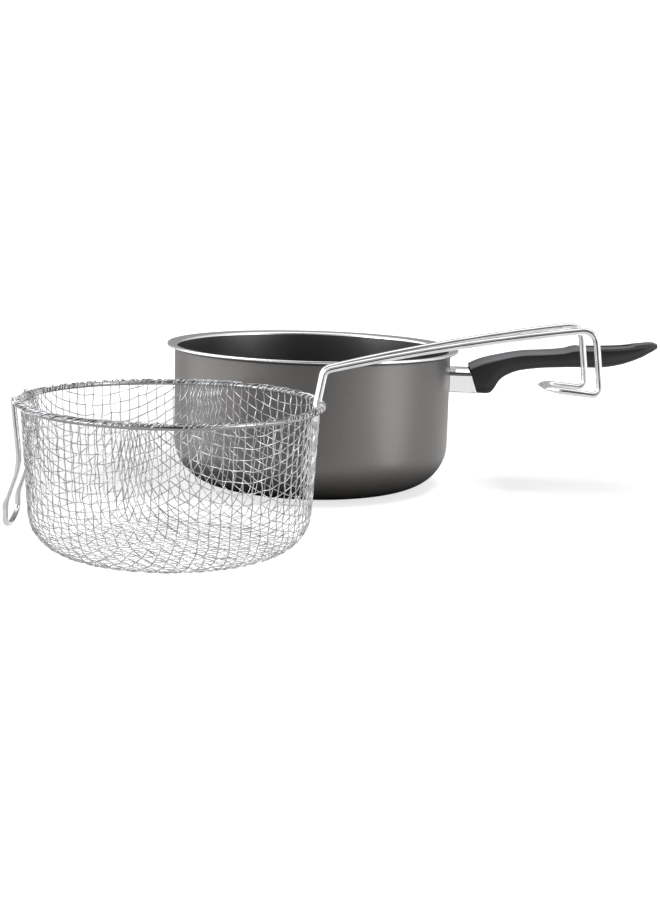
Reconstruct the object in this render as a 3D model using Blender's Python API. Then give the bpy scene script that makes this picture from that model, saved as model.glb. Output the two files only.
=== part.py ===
"""Deep fry pot with a wire frying basket standing in front of it.

The origin is the centre of the pot's base. +X runs out along the pot's
handle, +Y points away from the basket and +Z is up. Lengths are in metres
and angles in radians.
"""
import math

import bmesh
import bpy
import numpy as np
from mathutils import Vector

# Fits between pieces that touch, and how far a cut runs past what it cuts
SEAT_GAP = 0.0003
CUT_OVERRUN = 0.008

# Pot, pressed from one disc of even thickness
POT_HEIGHT = 0.1195
POT_RADIUS = 0.120
POT_WALL = 0.0020
POT_CORNER_RADIUS = 0.036
POT_LIP_RADIUS = 0.0087
POT_LIP_TURN = math.radians(80)
POT_SEGMENTS = 64
POT_CORNER_STEPS = 6
POT_LIP_STEPS = 5

# How far the pot handle's middle line lies below the lip
HANDLE_DROP = 0.0266

# Grip, a moulding whose crest and keel are followed by a fan of sections
GRIP_NOSE_REACH = 0.0160
GRIP_LENGTH = 0.1644
GRIP_KEEL_DROP = 0.0114
GRIP_RISE = 0.0492
GRIP_WIDTH = 0.0275
GRIP_CROWN_ROOT = 0.0058
GRIP_CROWN_END = 0.0042
GRIP_SPAN_STEPS = 3
# Crest along and up, keel along and up, width, as shares of length, rise and width
GRIP_STATION_SHARES = (
    (0.000, 0.530, 0.051, 0.000, 0.74),
    (0.053, 0.612, 0.114, 0.002, 0.76),
    (0.098, 0.660, 0.141, 0.080, 0.76),
    (0.146, 0.699, 0.166, 0.222, 0.74),
    (0.213, 0.748, 0.201, 0.326, 0.70),
    (0.292, 0.791, 0.268, 0.419, 0.66),
    (0.390, 0.813, 0.377, 0.476, 0.65),
    (0.493, 0.848, 0.487, 0.500, 0.72),
    (0.566, 0.906, 0.566, 0.512, 0.84),
    (0.694, 0.915, 0.694, 0.520, 0.98),
    (0.803, 0.936, 0.803, 0.585, 1.00),
    (0.900, 0.978, 0.900, 0.707, 0.92),
    (0.967, 0.998, 0.961, 0.822, 0.68),
    (1.000, 0.957, 0.996, 0.890, 0.30),
)
# Points of the crown, as shares of the half width, and steps of the rounded underside
CROWN_POINT_SHARES = (0.0, 0.45, 0.82, 1.0)
UNDERSIDE_STEPS = 5
UNDERSIDE_SQUARENESS = 3.2

# Hanging slot in the wide end of the grip
HANG_SLOT_LENGTH = 0.050
HANG_SLOT_WIDTH = 0.011
HANG_SLOT_SETBACK = 0.0214
HANG_SLOT_STEPS = 6

# Flame guard, a sheet metal sleeve between the pot and the grip
GUARD_SETBACK = 0.0007
GUARD_SHEET = 0.0008
GUARD_KEEL_DROP = 0.0110
GUARD_CREST_RISE = 0.0112
GUARD_CROWN = 0.0062

# Bracket, a flange on the wall and a tongue that the grip slides over
FLANGE_SIDE_ROOM = 0.0024
FLANGE_END_ROOM = 0.0044
FLANGE_THICKNESS = 0.0025
TONGUE_WIDTH = 0.0080
TONGUE_HEIGHT = 0.0090
TONGUE_OVERREACH = 0.0062
SADDLE_STEPS = 6

# Screw that holds the grip to the tongue from below
SCREW_REACH = 0.0275
SCREW_SHANK_DIAMETER = 0.0040
SCREW_TIP_RISE = 0.0010
SCREW_HEAD_DIAMETER = 0.0068
SCREW_HEAD_HEIGHT = 0.0022
SCREW_HEAD_SINK = 0.0014
SCREW_SIDES = 24

# Basket, stood beside the pot at a bearing, with a gap between the lip and the ring
BASKET_GAP = 0.0325
BASKET_BEARING = math.radians(249.42)

# Rim ring
RING_WIRE = 0.0038
RING_RADIUS = 0.1043
RING_HEIGHT = 0.1020
RING_SEGMENTS = 64
WIRE_SIDES = 8

# Woven net, a square weave drawn down into a cup
NET_PITCH = 0.0165
NET_BAR = 0.0017
NET_CORNER_RADIUS = 0.027
NET_LEAN = math.radians(3)
NET_RIM_INSET = 0.0019
NET_TURN = math.radians(38)
NET_SNAP_SHARE = 0.24
NET_LOCK_ANGLE = math.radians(24)
DRAPE_ROUNDS = 14
SETTLE_ROUNDS = 300
SETTLE_HOLD_SHARE = 0.5

# Basket handle, one wire bent into two arms and an end hook
ARM_WIRE = 0.0048
ARM_AZIMUTH = math.radians(4.5)
ARM_ROOT_SPREAD = 0.0055
ARM_END_SPREAD = 0.0205
ARM_BEND_OFFSET = 0.0019
ARM_BEND_RISE = 0.0253
ARM_LENGTH = 0.1845
ARM_CLIMB = 0.0340
ARM_BOW = 0.0030
ARM_STEPS = 8
ARM_BEND_RADIUS = 0.0060
END_TOP_RADIUS = 0.0094
END_LOW_RADIUS = 0.0050
END_DROP = 0.0461
END_LEAN = 0.0063
END_RETURN = 0.0310
END_RETURN_RISE = 0.0033

# Drain hook, a wire loop hanging outside the ring
HOOK_WIRE = 0.0038
HOOK_AZIMUTH = math.radians(180.5)
HOOK_SPREAD = 0.0190
HOOK_TOP_RISE = 0.0015
HOOK_NET_GAP = 0.0012
HOOK_WAIST_DROP = 0.0420
HOOK_WAIST_BEND = 0.020
HOOK_FLARE_REACH = 0.0092
HOOK_FLARE_DROP = 0.0300
HOOK_FOOT_REACH = 0.0022
HOOK_LOOP_STEPS = 10
BEND_STEPS = 4

# Places along the pot handle, worked out from the pot's wall and lip
HANDLE_HEIGHT = POT_HEIGHT - HANDLE_DROP
GRIP_NOSE_X = POT_RADIUS + GRIP_NOSE_REACH
GRIP_KEEL_HEIGHT = HANDLE_HEIGHT - GRIP_KEEL_DROP
GUARD_WIDTH = GRIP_WIDTH * GRIP_STATION_SHARES[0][-1] - 2 * GUARD_SETBACK
GUARD_HEIGHT = GUARD_KEEL_DROP + GUARD_CREST_RISE
FLANGE_WIDTH = GUARD_WIDTH - 2 * (GUARD_SHEET + FLANGE_SIDE_ROOM)
FLANGE_HEIGHT = GUARD_HEIGHT - 2 * (GUARD_SHEET + FLANGE_END_ROOM)

# Places on the basket, worked out from its ring
NET_RIM_HEIGHT = RING_HEIGHT - RING_WIRE / 2 - SEAT_GAP - NET_BAR / 2
NET_RIM_RADIUS = RING_RADIUS - NET_RIM_INSET
ARM_BEND_REACH = RING_RADIUS + ARM_BEND_OFFSET
ARM_BEND_HEIGHT = RING_HEIGHT + ARM_BEND_RISE
ARM_END_REACH = ARM_BEND_REACH + ARM_LENGTH
ARM_END_HEIGHT = ARM_BEND_HEIGHT + ARM_CLIMB
END_LOW_REACH = ARM_END_REACH + END_LEAN
END_LOW_HEIGHT = ARM_END_HEIGHT - END_DROP
HOOK_WAIST_HEIGHT = RING_HEIGHT - HOOK_WAIST_DROP
HOOK_FLARE_HEIGHT = HOOK_WAIST_HEIGHT - HOOK_FLARE_DROP


def clear_scene():
    """Take away whatever the file opened with."""
    for item in list(bpy.data.objects):
        bpy.data.objects.remove(item, do_unlink=True)


def make_material(name, colour, roughness, metallic):
    """A plain Principled material."""
    material = bpy.data.materials.new(name)
    material.use_nodes = True
    shader = material.node_tree.nodes["Principled BSDF"]
    shader.inputs["Base Color"].default_value = (*colour, 1.0)
    shader.inputs["Roughness"].default_value = roughness
    shader.inputs["Metallic"].default_value = metallic
    return material


def add_object(name, data, material, parent=None):
    """Link new data as an object, with its material and its parent."""
    item = bpy.data.objects.new(name, data)
    bpy.context.scene.collection.objects.link(item)
    data.materials.append(material)
    item.parent = parent
    return item


def mesh_from(shape, name, sharp_angle):
    """Close a bmesh into a mesh, faces outward, round parts shaded smooth."""
    bmesh.ops.recalc_face_normals(shape, faces=shape.faces)
    mesh = bpy.data.meshes.new(name)
    shape.to_mesh(mesh)
    shape.free()
    mesh.shade_smooth()
    mesh.set_sharp_from_angle(angle=sharp_angle)
    return mesh


def arc_points(centre, radius, start, end, steps):
    """Points of an arc in a plane, both ends included."""
    turns = [start + (end - start) * step / steps for step in range(steps + 1)]
    return [(centre[0] + radius * math.cos(t), centre[1] + radius * math.sin(t)) for t in turns]


def revolve(outline, segments, closed):
    """Spin an outline of radius and height about the Z axis."""
    shape = bmesh.new()
    corners = [shape.verts.new((radius, 0, height)) for radius, height in outline]
    edges = [shape.edges.new(pair) for pair in zip(corners, corners[1:])]
    if closed:
        edges.append(shape.edges.new((corners[-1], corners[0])))
    bmesh.ops.spin(
        shape, geom=corners + edges, cent=(0, 0, 0), axis=(0, 0, 1),
        angle=math.tau, steps=segments, use_merge=True,
    )
    bmesh.ops.remove_doubles(shape, verts=shape.verts, dist=SEAT_GAP / segments)
    return shape


def bridge_rings(shape, rings, closed):
    """Skin neighbouring rings of vertices with quads."""
    pairs = list(zip(rings, rings[1:]))
    if closed:
        pairs.append((rings[-1], rings[0]))
    for lower, upper in pairs:
        count = len(lower)
        for index in range(count):
            after = (index + 1) % count
            shape.faces.new((lower[index], lower[after], upper[after], upper[index]))


# Pot

def lip_centre():
    """Radius and height of the circle that the pot's lip is rolled round."""
    out = POT_RADIUS - POT_WALL / 2 + POT_LIP_RADIUS
    return out, POT_HEIGHT - (POT_LIP_RADIUS + POT_WALL / 2) * math.sin(POT_LIP_TURN)


def pot_outline():
    """Half section of the pot, outside first, from the base to the lip and back."""
    corner = (POT_RADIUS - POT_CORNER_RADIUS, POT_CORNER_RADIUS)
    lip = lip_centre()
    lip_outside = POT_LIP_RADIUS - POT_WALL / 2
    lip_inside = POT_LIP_RADIUS + POT_WALL / 2
    lip_end = math.pi - POT_LIP_TURN
    outside = [(0, 0)]
    outside += arc_points(corner, POT_CORNER_RADIUS, -math.pi / 2, 0, POT_CORNER_STEPS)
    outside += arc_points(lip, lip_outside, math.pi, lip_end, POT_LIP_STEPS)
    inside = [(0, POT_WALL)]
    inside += arc_points(corner, POT_CORNER_RADIUS - POT_WALL, -math.pi / 2, 0, POT_CORNER_STEPS)
    inside += arc_points(lip, lip_inside, math.pi, lip_end, POT_LIP_STEPS)
    return outside + inside[::-1]


def basket_place():
    """Foot of the basket's axis, from the gap between the pot's lip and the basket's ring."""
    lip = lip_centre()[0] - (POT_LIP_RADIUS - POT_WALL / 2) * math.cos(POT_LIP_TURN)
    away = lip + BASKET_GAP + RING_RADIUS + RING_WIRE / 2
    return away * math.cos(BASKET_BEARING), away * math.sin(BASKET_BEARING), 0


def make_pot(material):
    """The pot body, a shell of revolution with a trumpet lip."""
    shape = revolve(pot_outline(), POT_SEGMENTS, closed=False)
    mesh = mesh_from(shape, "pot_body", math.radians(40))
    return add_object("pot_body", mesh, material)


# Pot handle

def handle_section(width, height, crown):
    """Ring of side and up places: a low crown over straight sides and a rounded keel."""
    half = width / 2
    ridge = height - crown
    right = [(half * share, height - crown * share ** 2) for share in CROWN_POINT_SHARES]
    power = 2 / UNDERSIDE_SQUARENESS
    for step in range(1, UNDERSIDE_STEPS + 1):
        turn = math.pi / 2 * step / UNDERSIDE_STEPS
        side = 0.0 if step == UNDERSIDE_STEPS else half * math.cos(turn) ** power
        right.append((side, ridge * (1 - math.sin(turn) ** power)))
    left = [(-side, up) for side, up in right[-2:0:-1]]
    return right + left


def grip_stations():
    """Crest point, keel point and width at each section, smoothed between the stations."""
    rows = [np.array(row) for row in GRIP_STATION_SHARES]
    rows = [2 * rows[0] - rows[1]] + rows + [2 * rows[-1] - rows[-2]]
    smooth = []
    for before, start, end, after in zip(rows, rows[1:], rows[2:], rows[3:]):
        for step in range(GRIP_SPAN_STEPS):
            u = step / GRIP_SPAN_STEPS
            bend = 2 * start + (end - before) * u
            bend = bend + (2 * before - 5 * start + 4 * end - after) * u ** 2
            smooth.append((bend + (3 * start - before - 3 * end + after) * u ** 3) / 2)
    smooth.append(rows[-2])
    return smooth


def grip_point(along, up):
    """A place in the handle's upright plane from its shares of length and rise."""
    return Vector((GRIP_NOSE_X + along * GRIP_LENGTH, 0, GRIP_KEEL_HEIGHT + up * GRIP_RISE))


def front_face_x(height):
    """Where the grip's slanted front face lies at a height."""
    crest_along, crest_up, keel_along, keel_up, _ = GRIP_STATION_SHARES[0]
    crest = grip_point(crest_along, crest_up)
    keel = grip_point(keel_along, keel_up)
    return keel.x + (height - keel.z) * (crest.x - keel.x) / (crest.z - keel.z)


def grip_shape():
    """Loft of the grip through its fan of sections."""
    shape = bmesh.new()
    rings = []
    for crest_along, crest_up, keel_along, keel_up, width in grip_stations():
        crest = grip_point(crest_along, crest_up)
        keel = grip_point(keel_along, keel_up)
        height = (crest - keel).length
        rise = (crest - keel) / height
        crown = GRIP_CROWN_ROOT + (GRIP_CROWN_END - GRIP_CROWN_ROOT) * keel_along
        crown = min(crown, height / 2)
        section = handle_section(width * GRIP_WIDTH, height, crown)
        places = [keel + rise * up + Vector((0, side, 0)) for side, up in section]
        rings.append([shape.verts.new(place) for place in places])
    bridge_rings(shape, rings, closed=False)
    shape.faces.new(rings[0])
    shape.faces.new(rings[-1])
    return shape


def add_cutter(name, mesh):
    """A hidden shape that a Boolean takes away."""
    cutter = bpy.data.objects.new(name, mesh)
    bpy.context.scene.collection.objects.link(cutter)
    cutter.hide_render = True
    cutter.hide_set(True)
    cutter.display_type = "WIRE"
    return cutter


def cut_away(item, cutter):
    """Subtract a cutter with a live Boolean."""
    cut = item.modifiers.new(cutter.name, "BOOLEAN")
    cut.operation = "DIFFERENCE"
    cut.object = cutter


def slot_cutter():
    """Round ended hanging slot, right through the grip."""
    reach = (HANG_SLOT_LENGTH - HANG_SLOT_WIDTH) / 2
    centre = GRIP_NOSE_X + GRIP_LENGTH - HANG_SLOT_SETBACK - HANG_SLOT_LENGTH / 2
    radius = HANG_SLOT_WIDTH / 2
    outline = arc_points((centre + reach, 0), radius, -math.pi / 2, math.pi / 2, HANG_SLOT_STEPS)
    outline += arc_points((centre - reach, 0), radius, math.pi / 2, math.pi * 3 / 2, HANG_SLOT_STEPS)
    return prism_cutter("hang_slot_cut", outline, GRIP_KEEL_HEIGHT, GRIP_KEEL_HEIGHT + GRIP_RISE)


def prism_cutter(name, outline, low, high):
    """Upright prism over an outline, run past both heights."""
    shape = bmesh.new()
    rings = []
    for height in (low - CUT_OVERRUN, high + CUT_OVERRUN):
        rings.append([shape.verts.new((x, y, height)) for x, y in outline])
    bridge_rings(shape, rings, closed=False)
    shape.faces.new(rings[0])
    shape.faces.new(rings[-1])
    return add_cutter(name, mesh_from(shape, name, math.radians(30)))


def box_shape(low, high):
    """Box between two corners."""
    shape = bmesh.new()
    bmesh.ops.create_cube(shape, size=1)
    for corner in shape.verts:
        for axis in range(3):
            corner.co[axis] = high[axis] if corner.co[axis] > 0 else low[axis]
    return shape


def tongue_box(clearance):
    """Low and high corners of the tongue inside the grip, grown by a clearance."""
    half = TONGUE_WIDTH / 2 + clearance
    rise = TONGUE_HEIGHT / 2 + clearance
    reach = POT_RADIUS + SCREW_REACH + TONGUE_OVERREACH + clearance
    low = Vector((POT_RADIUS, -half, HANDLE_HEIGHT - rise))
    high = Vector((reach, half, HANDLE_HEIGHT + rise))
    return low, high


def screw_levels():
    """Heights of the screw head's underside, its seat and the shank's tip."""
    low = GRIP_KEEL_HEIGHT + SCREW_HEAD_SINK
    return low, low + SCREW_HEAD_HEIGHT, HANDLE_HEIGHT + TONGUE_HEIGHT / 2 + SCREW_TIP_RISE


def screw_outline(clearance):
    """Half section of the screw, or of its hole where a clearance is given."""
    low, seat, tip = screw_levels()
    head = SCREW_HEAD_DIAMETER / 2 + clearance
    shank = SCREW_SHANK_DIAMETER / 2 + clearance
    bottom = low - CUT_OVERRUN if clearance else low
    return [(0, bottom), (head, bottom), (head, seat + clearance), (shank, seat + clearance),
            (shank, tip + clearance), (0, tip + clearance)]


def screw_mesh(name, clearance):
    """Solid of the screw or of its hole, on the screw's own axis."""
    shape = revolve(screw_outline(clearance), SCREW_SIDES, closed=False)
    bmesh.ops.translate(shape, verts=shape.verts, vec=(POT_RADIUS + SCREW_REACH, 0, 0))
    return mesh_from(shape, name, math.radians(30))


def make_grip(material):
    """The moulded grip with its socket, screw hole and hanging slot."""
    grip = add_object("handle_grip", mesh_from(grip_shape(), "handle_grip", math.radians(50)), material)
    cut_away(grip, slot_cutter())
    socket = mesh_from(box_shape(*tongue_box(SEAT_GAP)), "socket_cut", math.radians(30))
    cut_away(grip, add_cutter("socket_cut", socket))
    cut_away(grip, add_cutter("screw_hole_cut", screw_mesh("screw_hole_cut", SEAT_GAP)))
    return grip


def saddle_ring(shape, outline, end_x):
    """Rings of one outline on the pot's wall and at its far end."""
    wall = POT_RADIUS + SEAT_GAP
    near = [shape.verts.new((math.sqrt(wall ** 2 - side ** 2), side, up)) for side, up in outline]
    far = [shape.verts.new((end_x(up), side, up)) for side, up in outline]
    return near, far


def make_flame_guard(material):
    """Sleeve from the pot's wall to the grip's front face."""
    shape = bmesh.new()
    keel = HANDLE_HEIGHT - GUARD_KEEL_DROP
    outer = handle_section(GUARD_WIDTH, GUARD_HEIGHT, GUARD_CROWN)
    inner = handle_section(GUARD_WIDTH - 2 * GUARD_SHEET, GUARD_HEIGHT - 2 * GUARD_SHEET, GUARD_CROWN)
    outer = [(side, keel + up) for side, up in outer]
    inner = [(side, keel + GUARD_SHEET + up) for side, up in inner]
    outer_near, outer_far = saddle_ring(shape, outer, lambda up: front_face_x(up) - SEAT_GAP)
    inner_near, inner_far = saddle_ring(shape, inner, lambda up: front_face_x(up) - SEAT_GAP)
    bridge_rings(shape, [outer_near, outer_far, inner_far, inner_near], closed=True)
    return add_object("flame_guard", mesh_from(shape, "flame_guard", math.radians(35)), material)


def make_bracket(material):
    """Welded flange with the tongue that carries the grip."""
    half = FLANGE_WIDTH / 2
    low = HANDLE_HEIGHT - FLANGE_HEIGHT / 2
    high = HANDLE_HEIGHT + FLANGE_HEIGHT / 2
    sides = [half - FLANGE_WIDTH * step / SADDLE_STEPS for step in range(SADDLE_STEPS + 1)]
    outline = [(side, low) for side in sides] + [(side, high) for side in sides[::-1]]
    shape = bmesh.new()
    face_x = POT_RADIUS + SEAT_GAP + FLANGE_THICKNESS
    near, far = saddle_ring(shape, outline, lambda up: face_x)
    bridge_rings(shape, [near, far], closed=False)
    for ring in (near, far):
        last = len(ring) - 1
        for index in range(SADDLE_STEPS):
            shape.faces.new((ring[index], ring[index + 1], ring[last - index - 1], ring[last - index]))
    bracket = add_object("handle_bracket", mesh_from(shape, "handle_bracket", math.radians(30)), material)
    corner, end = tongue_box(0)
    corner.x = face_x - FLANGE_THICKNESS / 2
    tongue = add_cutter("tongue_join", mesh_from(box_shape(corner, end), "tongue_join", math.radians(30)))
    join = bracket.modifiers.new("tongue_join", "BOOLEAN")
    join.operation = "UNION"
    join.object = tongue
    cut_away(bracket, add_cutter("screw_thread_cut", screw_mesh("screw_thread_cut", SEAT_GAP)))
    return bracket


def make_screw(material):
    """Fastening screw, head down."""
    return add_object("grip_screw", screw_mesh("grip_screw", 0), material)


# Basket net

def net_wall():
    """Floor radius, corner centre height and wall length of the net's middle surface."""
    centre = NET_BAR / 2 + NET_CORNER_RADIUS
    wall = (NET_RIM_HEIGHT - centre + NET_CORNER_RADIUS * math.sin(NET_LEAN)) / math.cos(NET_LEAN)
    floor = NET_RIM_RADIUS - NET_CORNER_RADIUS * math.cos(NET_LEAN) - wall * math.sin(NET_LEAN)
    return floor, centre, wall


def net_meridian(arc):
    """Radius, height and slope angle at lengths along the cup from its pole."""
    floor, centre, _ = net_wall()
    bend = (arc - floor) / NET_CORNER_RADIUS
    steepest = math.pi / 2 - NET_LEAN
    slope = np.clip(bend, 0, steepest)
    beyond = np.maximum(arc - floor - NET_CORNER_RADIUS * steepest, 0)
    radius = np.minimum(arc, floor) + NET_CORNER_RADIUS * np.sin(slope) + beyond * math.sin(NET_LEAN)
    height = centre - NET_CORNER_RADIUS * np.cos(slope) + beyond * math.cos(NET_LEAN)
    return radius, height, slope


def cup_point(arc, turn):
    """Place on the cup for a length along the meridian and a turn about the axis."""
    radius, height, _ = net_meridian(arc)
    return np.stack([radius * np.cos(turn), radius * np.sin(turn), height], axis=-1)


def next_crossings(left, right, guess_arc, guess_turn, pitch):
    """Crossings one pitch away from both neighbours, found on the cup by Newton's rule."""
    arc, turn = guess_arc, guess_turn
    for _ in range(DRAPE_ROUNDS):
        radius, _, slope = net_meridian(arc)
        place = cup_point(arc, turn)
        up = np.stack([np.cos(slope) * np.cos(turn), np.cos(slope) * np.sin(turn), np.sin(slope)], axis=-1)
        round_ = np.stack([-np.sin(turn), np.cos(turn), np.zeros_like(turn)], axis=-1)
        rows = []
        for other in (left, right):
            away = place - other
            size = np.linalg.norm(away, axis=-1)
            away = away / size[:, None]
            rows.append(((away * up).sum(-1), (away * round_).sum(-1), size - pitch))
        (a, b, miss_a), (c, d, miss_b) = rows
        scale = a * d - b * c
        arc = arc - (d * miss_a - b * miss_b) / scale
        turn = turn - (a * miss_b - c * miss_a) / scale / radius
    return arc, turn


def drape_quarter(pitch):
    """Arc and turn of each crossing in one quarter, wires starting along two meridians."""
    floor, _, wall = net_wall()
    rim = floor + NET_CORNER_RADIUS * (math.pi / 2 - NET_LEAN) + wall
    count = math.ceil(rim / pitch) + 3
    arcs = np.full((count, count), np.inf)
    turns = np.zeros((count, count))
    steps = np.arange(count) * pitch
    arcs[:, 0], arcs[0, :] = steps, steps
    turns[0, 1:] = math.pi / 2
    for diagonal in range(2, 2 * count - 1):
        along = np.arange(max(1, diagonal - count + 1), min(diagonal, count))
        across = diagonal - along
        low = np.minimum(arcs[along - 1, across], arcs[along, across - 1])
        keep = low < rim + pitch
        keep &= np.isfinite(arcs[along - 1, across]) & np.isfinite(arcs[along, across - 1])
        along, across = along[keep], across[keep]
        if not len(along):
            continue
        left = cup_point(arcs[along - 1, across], turns[along - 1, across])
        right = cup_point(arcs[along, across - 1], turns[along, across - 1])
        corner_arc = arcs[along - 1, across - 1]
        corner = cup_point(corner_arc, turns[along - 1, across - 1])
        guess = left + right - corner
        turn = np.arctan2(guess[:, 1], guess[:, 0])
        arc = (arcs[along - 1, across] + arcs[along, across - 1]) / 2 + pitch / 2
        arcs[along, across], turns[along, across] = next_crossings(left, right, arc, turn, pitch)
    return arcs, turns, rim


def whole_drape(pitch):
    """Places of all crossings, the quarter turned about the axis four times."""
    arcs, turns, rim = drape_quarter(pitch)
    count = len(arcs)
    places = np.full((2 * count - 1, 2 * count - 1, 3), np.nan)
    known = np.isfinite(arcs)
    along, across = np.nonzero(known)
    for quarter in range(4):
        places[count - 1 + along, count - 1 + across] = cup_point(
            arcs[known], turns[known] + quarter * math.pi / 2,
        )
        along, across = -across, along
    return places


def cup_arc(places):
    """Length along the meridian of the cup's nearest place."""
    floor, centre, _ = net_wall()
    out = np.hypot(places[..., 0], places[..., 1])
    steepest = math.pi / 2 - NET_LEAN
    bend = np.arctan2(out - floor, centre - places[..., 2])
    edge_out = floor + NET_CORNER_RADIUS * math.sin(steepest)
    edge_up = centre - NET_CORNER_RADIUS * math.cos(steepest)
    climb = (out - edge_out) * math.sin(NET_LEAN) + (places[..., 2] - edge_up) * math.cos(NET_LEAN)
    wall = floor + NET_CORNER_RADIUS * steepest + climb
    corner = floor + NET_CORNER_RADIUS * bend
    return np.where(out < floor, out, np.where(bend < steepest, corner, wall))


def settle_net(places, pitch):
    """Ease the drape on the cup: wires keep their pitch, and squeezed meshes a least width."""
    narrow = 2 * pitch * math.sin(NET_LOCK_ANGLE / 2)
    wide = 2 * pitch * math.cos(NET_LOCK_ANGLE / 2)
    links = (((1, 0), pitch, pitch), ((0, 1), pitch, pitch), ((1, 1), narrow, wide), ((-1, 1), narrow, wide))
    for _ in range(SETTLE_ROUNDS):
        push = np.zeros_like(places)
        count = np.full(places.shape[:2], SETTLE_HOLD_SHARE)
        for (along, across), least, most in links:
            first = (slice(max(-along, 0), len(places) - max(along, 0)), slice(0, len(places) - across))
            second = (slice(max(along, 0), len(places) + min(along, 0)), slice(across, len(places)))
            away = places[second] - places[first]
            length = np.linalg.norm(away, axis=-1)
            move = away * ((np.clip(length, least, most) / length - 1) / 2)[..., None]
            linked = np.isfinite(length)
            move = np.where(linked[..., None], move, 0)
            push[first] -= move
            push[second] += move
            count[first] += linked
            count[second] += linked
        places = places + push / count[..., None]
        places = cup_point(cup_arc(places), np.arctan2(places[..., 1], places[..., 0]))
    return places


def net_surface():
    """Quads between the crossings of the whole cup, trimmed level at the rim."""
    places = settle_net(whole_drape(NET_PITCH), NET_PITCH)
    near_rim = np.abs(places[..., 2] - NET_RIM_HEIGHT) < NET_SNAP_SHARE * NET_PITCH
    places[..., 2] = np.where(near_rim, NET_RIM_HEIGHT, places[..., 2])
    known = np.isfinite(places[..., 0])
    shape = bmesh.new()
    corners = {}
    for key in zip(*np.nonzero(known)):
        corners[key] = shape.verts.new(places[key])
    for along, across in zip(*np.nonzero(known[:-1, :-1] & known[1:, :-1] & known[1:, 1:] & known[:-1, 1:])):
        ring = ((along, across), (along + 1, across), (along + 1, across + 1), (along, across + 1))
        shape.faces.new([corners[key] for key in ring])
    everything = shape.verts[:] + shape.edges[:] + shape.faces[:]
    bmesh.ops.bisect_plane(
        shape, geom=everything, dist=SEAT_GAP / 3, plane_co=(0, 0, NET_RIM_HEIGHT),
        plane_no=(0, 0, 1), clear_outer=True,
    )
    loose = [corner for corner in shape.verts if not corner.link_faces]
    bmesh.ops.delete(shape, geom=loose, context="VERTS")
    bmesh.ops.remove_doubles(shape, verts=shape.verts, dist=NET_BAR)
    return shape


def make_net(material, parent):
    """The net, its bars drawn along every edge of the draped surface."""
    shape = net_surface()
    mesh = mesh_from(shape, "basket_net", math.radians(30))
    net = add_object("basket_net", mesh, material, parent)
    net.rotation_euler.z = NET_TURN
    bars = net.modifiers.new("bars", "WIREFRAME")
    bars.thickness = NET_BAR
    bars.offset = 0
    bars.use_boundary = True
    bars.use_replace = True
    bars.use_even_offset = True
    bars.use_relative_offset = False
    return net


# Basket wires

def make_ring(material, parent):
    """Rim ring, a closed hoop of round wire."""
    centre = (RING_RADIUS, RING_HEIGHT)
    outline = arc_points(centre, RING_WIRE / 2, 0, math.tau, WIRE_SIDES)[:-1]
    shape = revolve(outline, RING_SEGMENTS, closed=True)
    return add_object("rim_ring", mesh_from(shape, "rim_ring", math.radians(60)), material, parent)


def bent_route(corners, radii):
    """Straight runs between corners, each corner rounded to its bend radius."""
    route = [corners[0]]
    for before, corner, after, radius in zip(corners, corners[1:], corners[2:], radii):
        back = (before - corner).normalized()
        on = (after - corner).normalized()
        half = back.angle(on) / 2
        centre = corner + (back + on).normalized() * radius / math.sin(half)
        start = corner + back * radius / math.tan(half) - centre
        end = corner + on * radius / math.tan(half) - centre
        sweep = start.angle(end)
        for step in range(BEND_STEPS + 1):
            u = step / BEND_STEPS
            weight = (math.sin((1 - u) * sweep), math.sin(u * sweep))
            route.append(centre + (start * weight[0] + end * weight[1]) / math.sin(sweep))
    route.append(corners[-1])
    return route


def wire_object(name, route, diameter, azimuth, material, parent):
    """A round wire swept along a route and turned to its side of the basket."""
    curve = bpy.data.curves.new(name, "CURVE")
    curve.dimensions = "3D"
    curve.bevel_depth = diameter / 2
    curve.bevel_resolution = 2
    curve.use_fill_caps = True
    spline = curve.splines.new("POLY")
    spline.points.add(len(route) - 1)
    for point, place in zip(spline.points, route):
        point.co = (*place, 1)
    spline.use_smooth = True
    wire = add_object(name, curve, material, parent)
    wire.rotation_euler.z = azimuth
    return wire


def mirrored(route):
    """The same route on the other side of the wire's middle plane, run backwards."""
    return [Vector((place.x, -place.y, place.z)) for place in route[::-1]]


def arm_spread(reach):
    """Half the distance between the two arms at a reach from the basket's axis."""
    root = RING_RADIUS
    share = (reach - root) / (END_LOW_REACH - root)
    return ARM_ROOT_SPREAD + (ARM_END_SPREAD - ARM_ROOT_SPREAD) * share


def riser_foot():
    """Reach and height of the riser's lower end, resting against the ring's inner side."""
    ring_reach = math.sqrt(RING_RADIUS ** 2 - ARM_ROOT_SPREAD ** 2)
    clear = RING_WIRE / 2 + SEAT_GAP + ARM_WIRE / 2
    lean = math.atan((ARM_BEND_REACH - ring_reach + clear) / (ARM_BEND_HEIGHT - RING_HEIGHT))
    touch = ring_reach - clear / math.cos(lean)
    height = NET_RIM_HEIGHT + NET_BAR / 2 + SEAT_GAP + ARM_WIRE / 2 * math.sin(lean)
    run = (height - RING_HEIGHT) / (ARM_BEND_HEIGHT - RING_HEIGHT)
    return touch + (ARM_BEND_REACH - touch) * run, height


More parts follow.
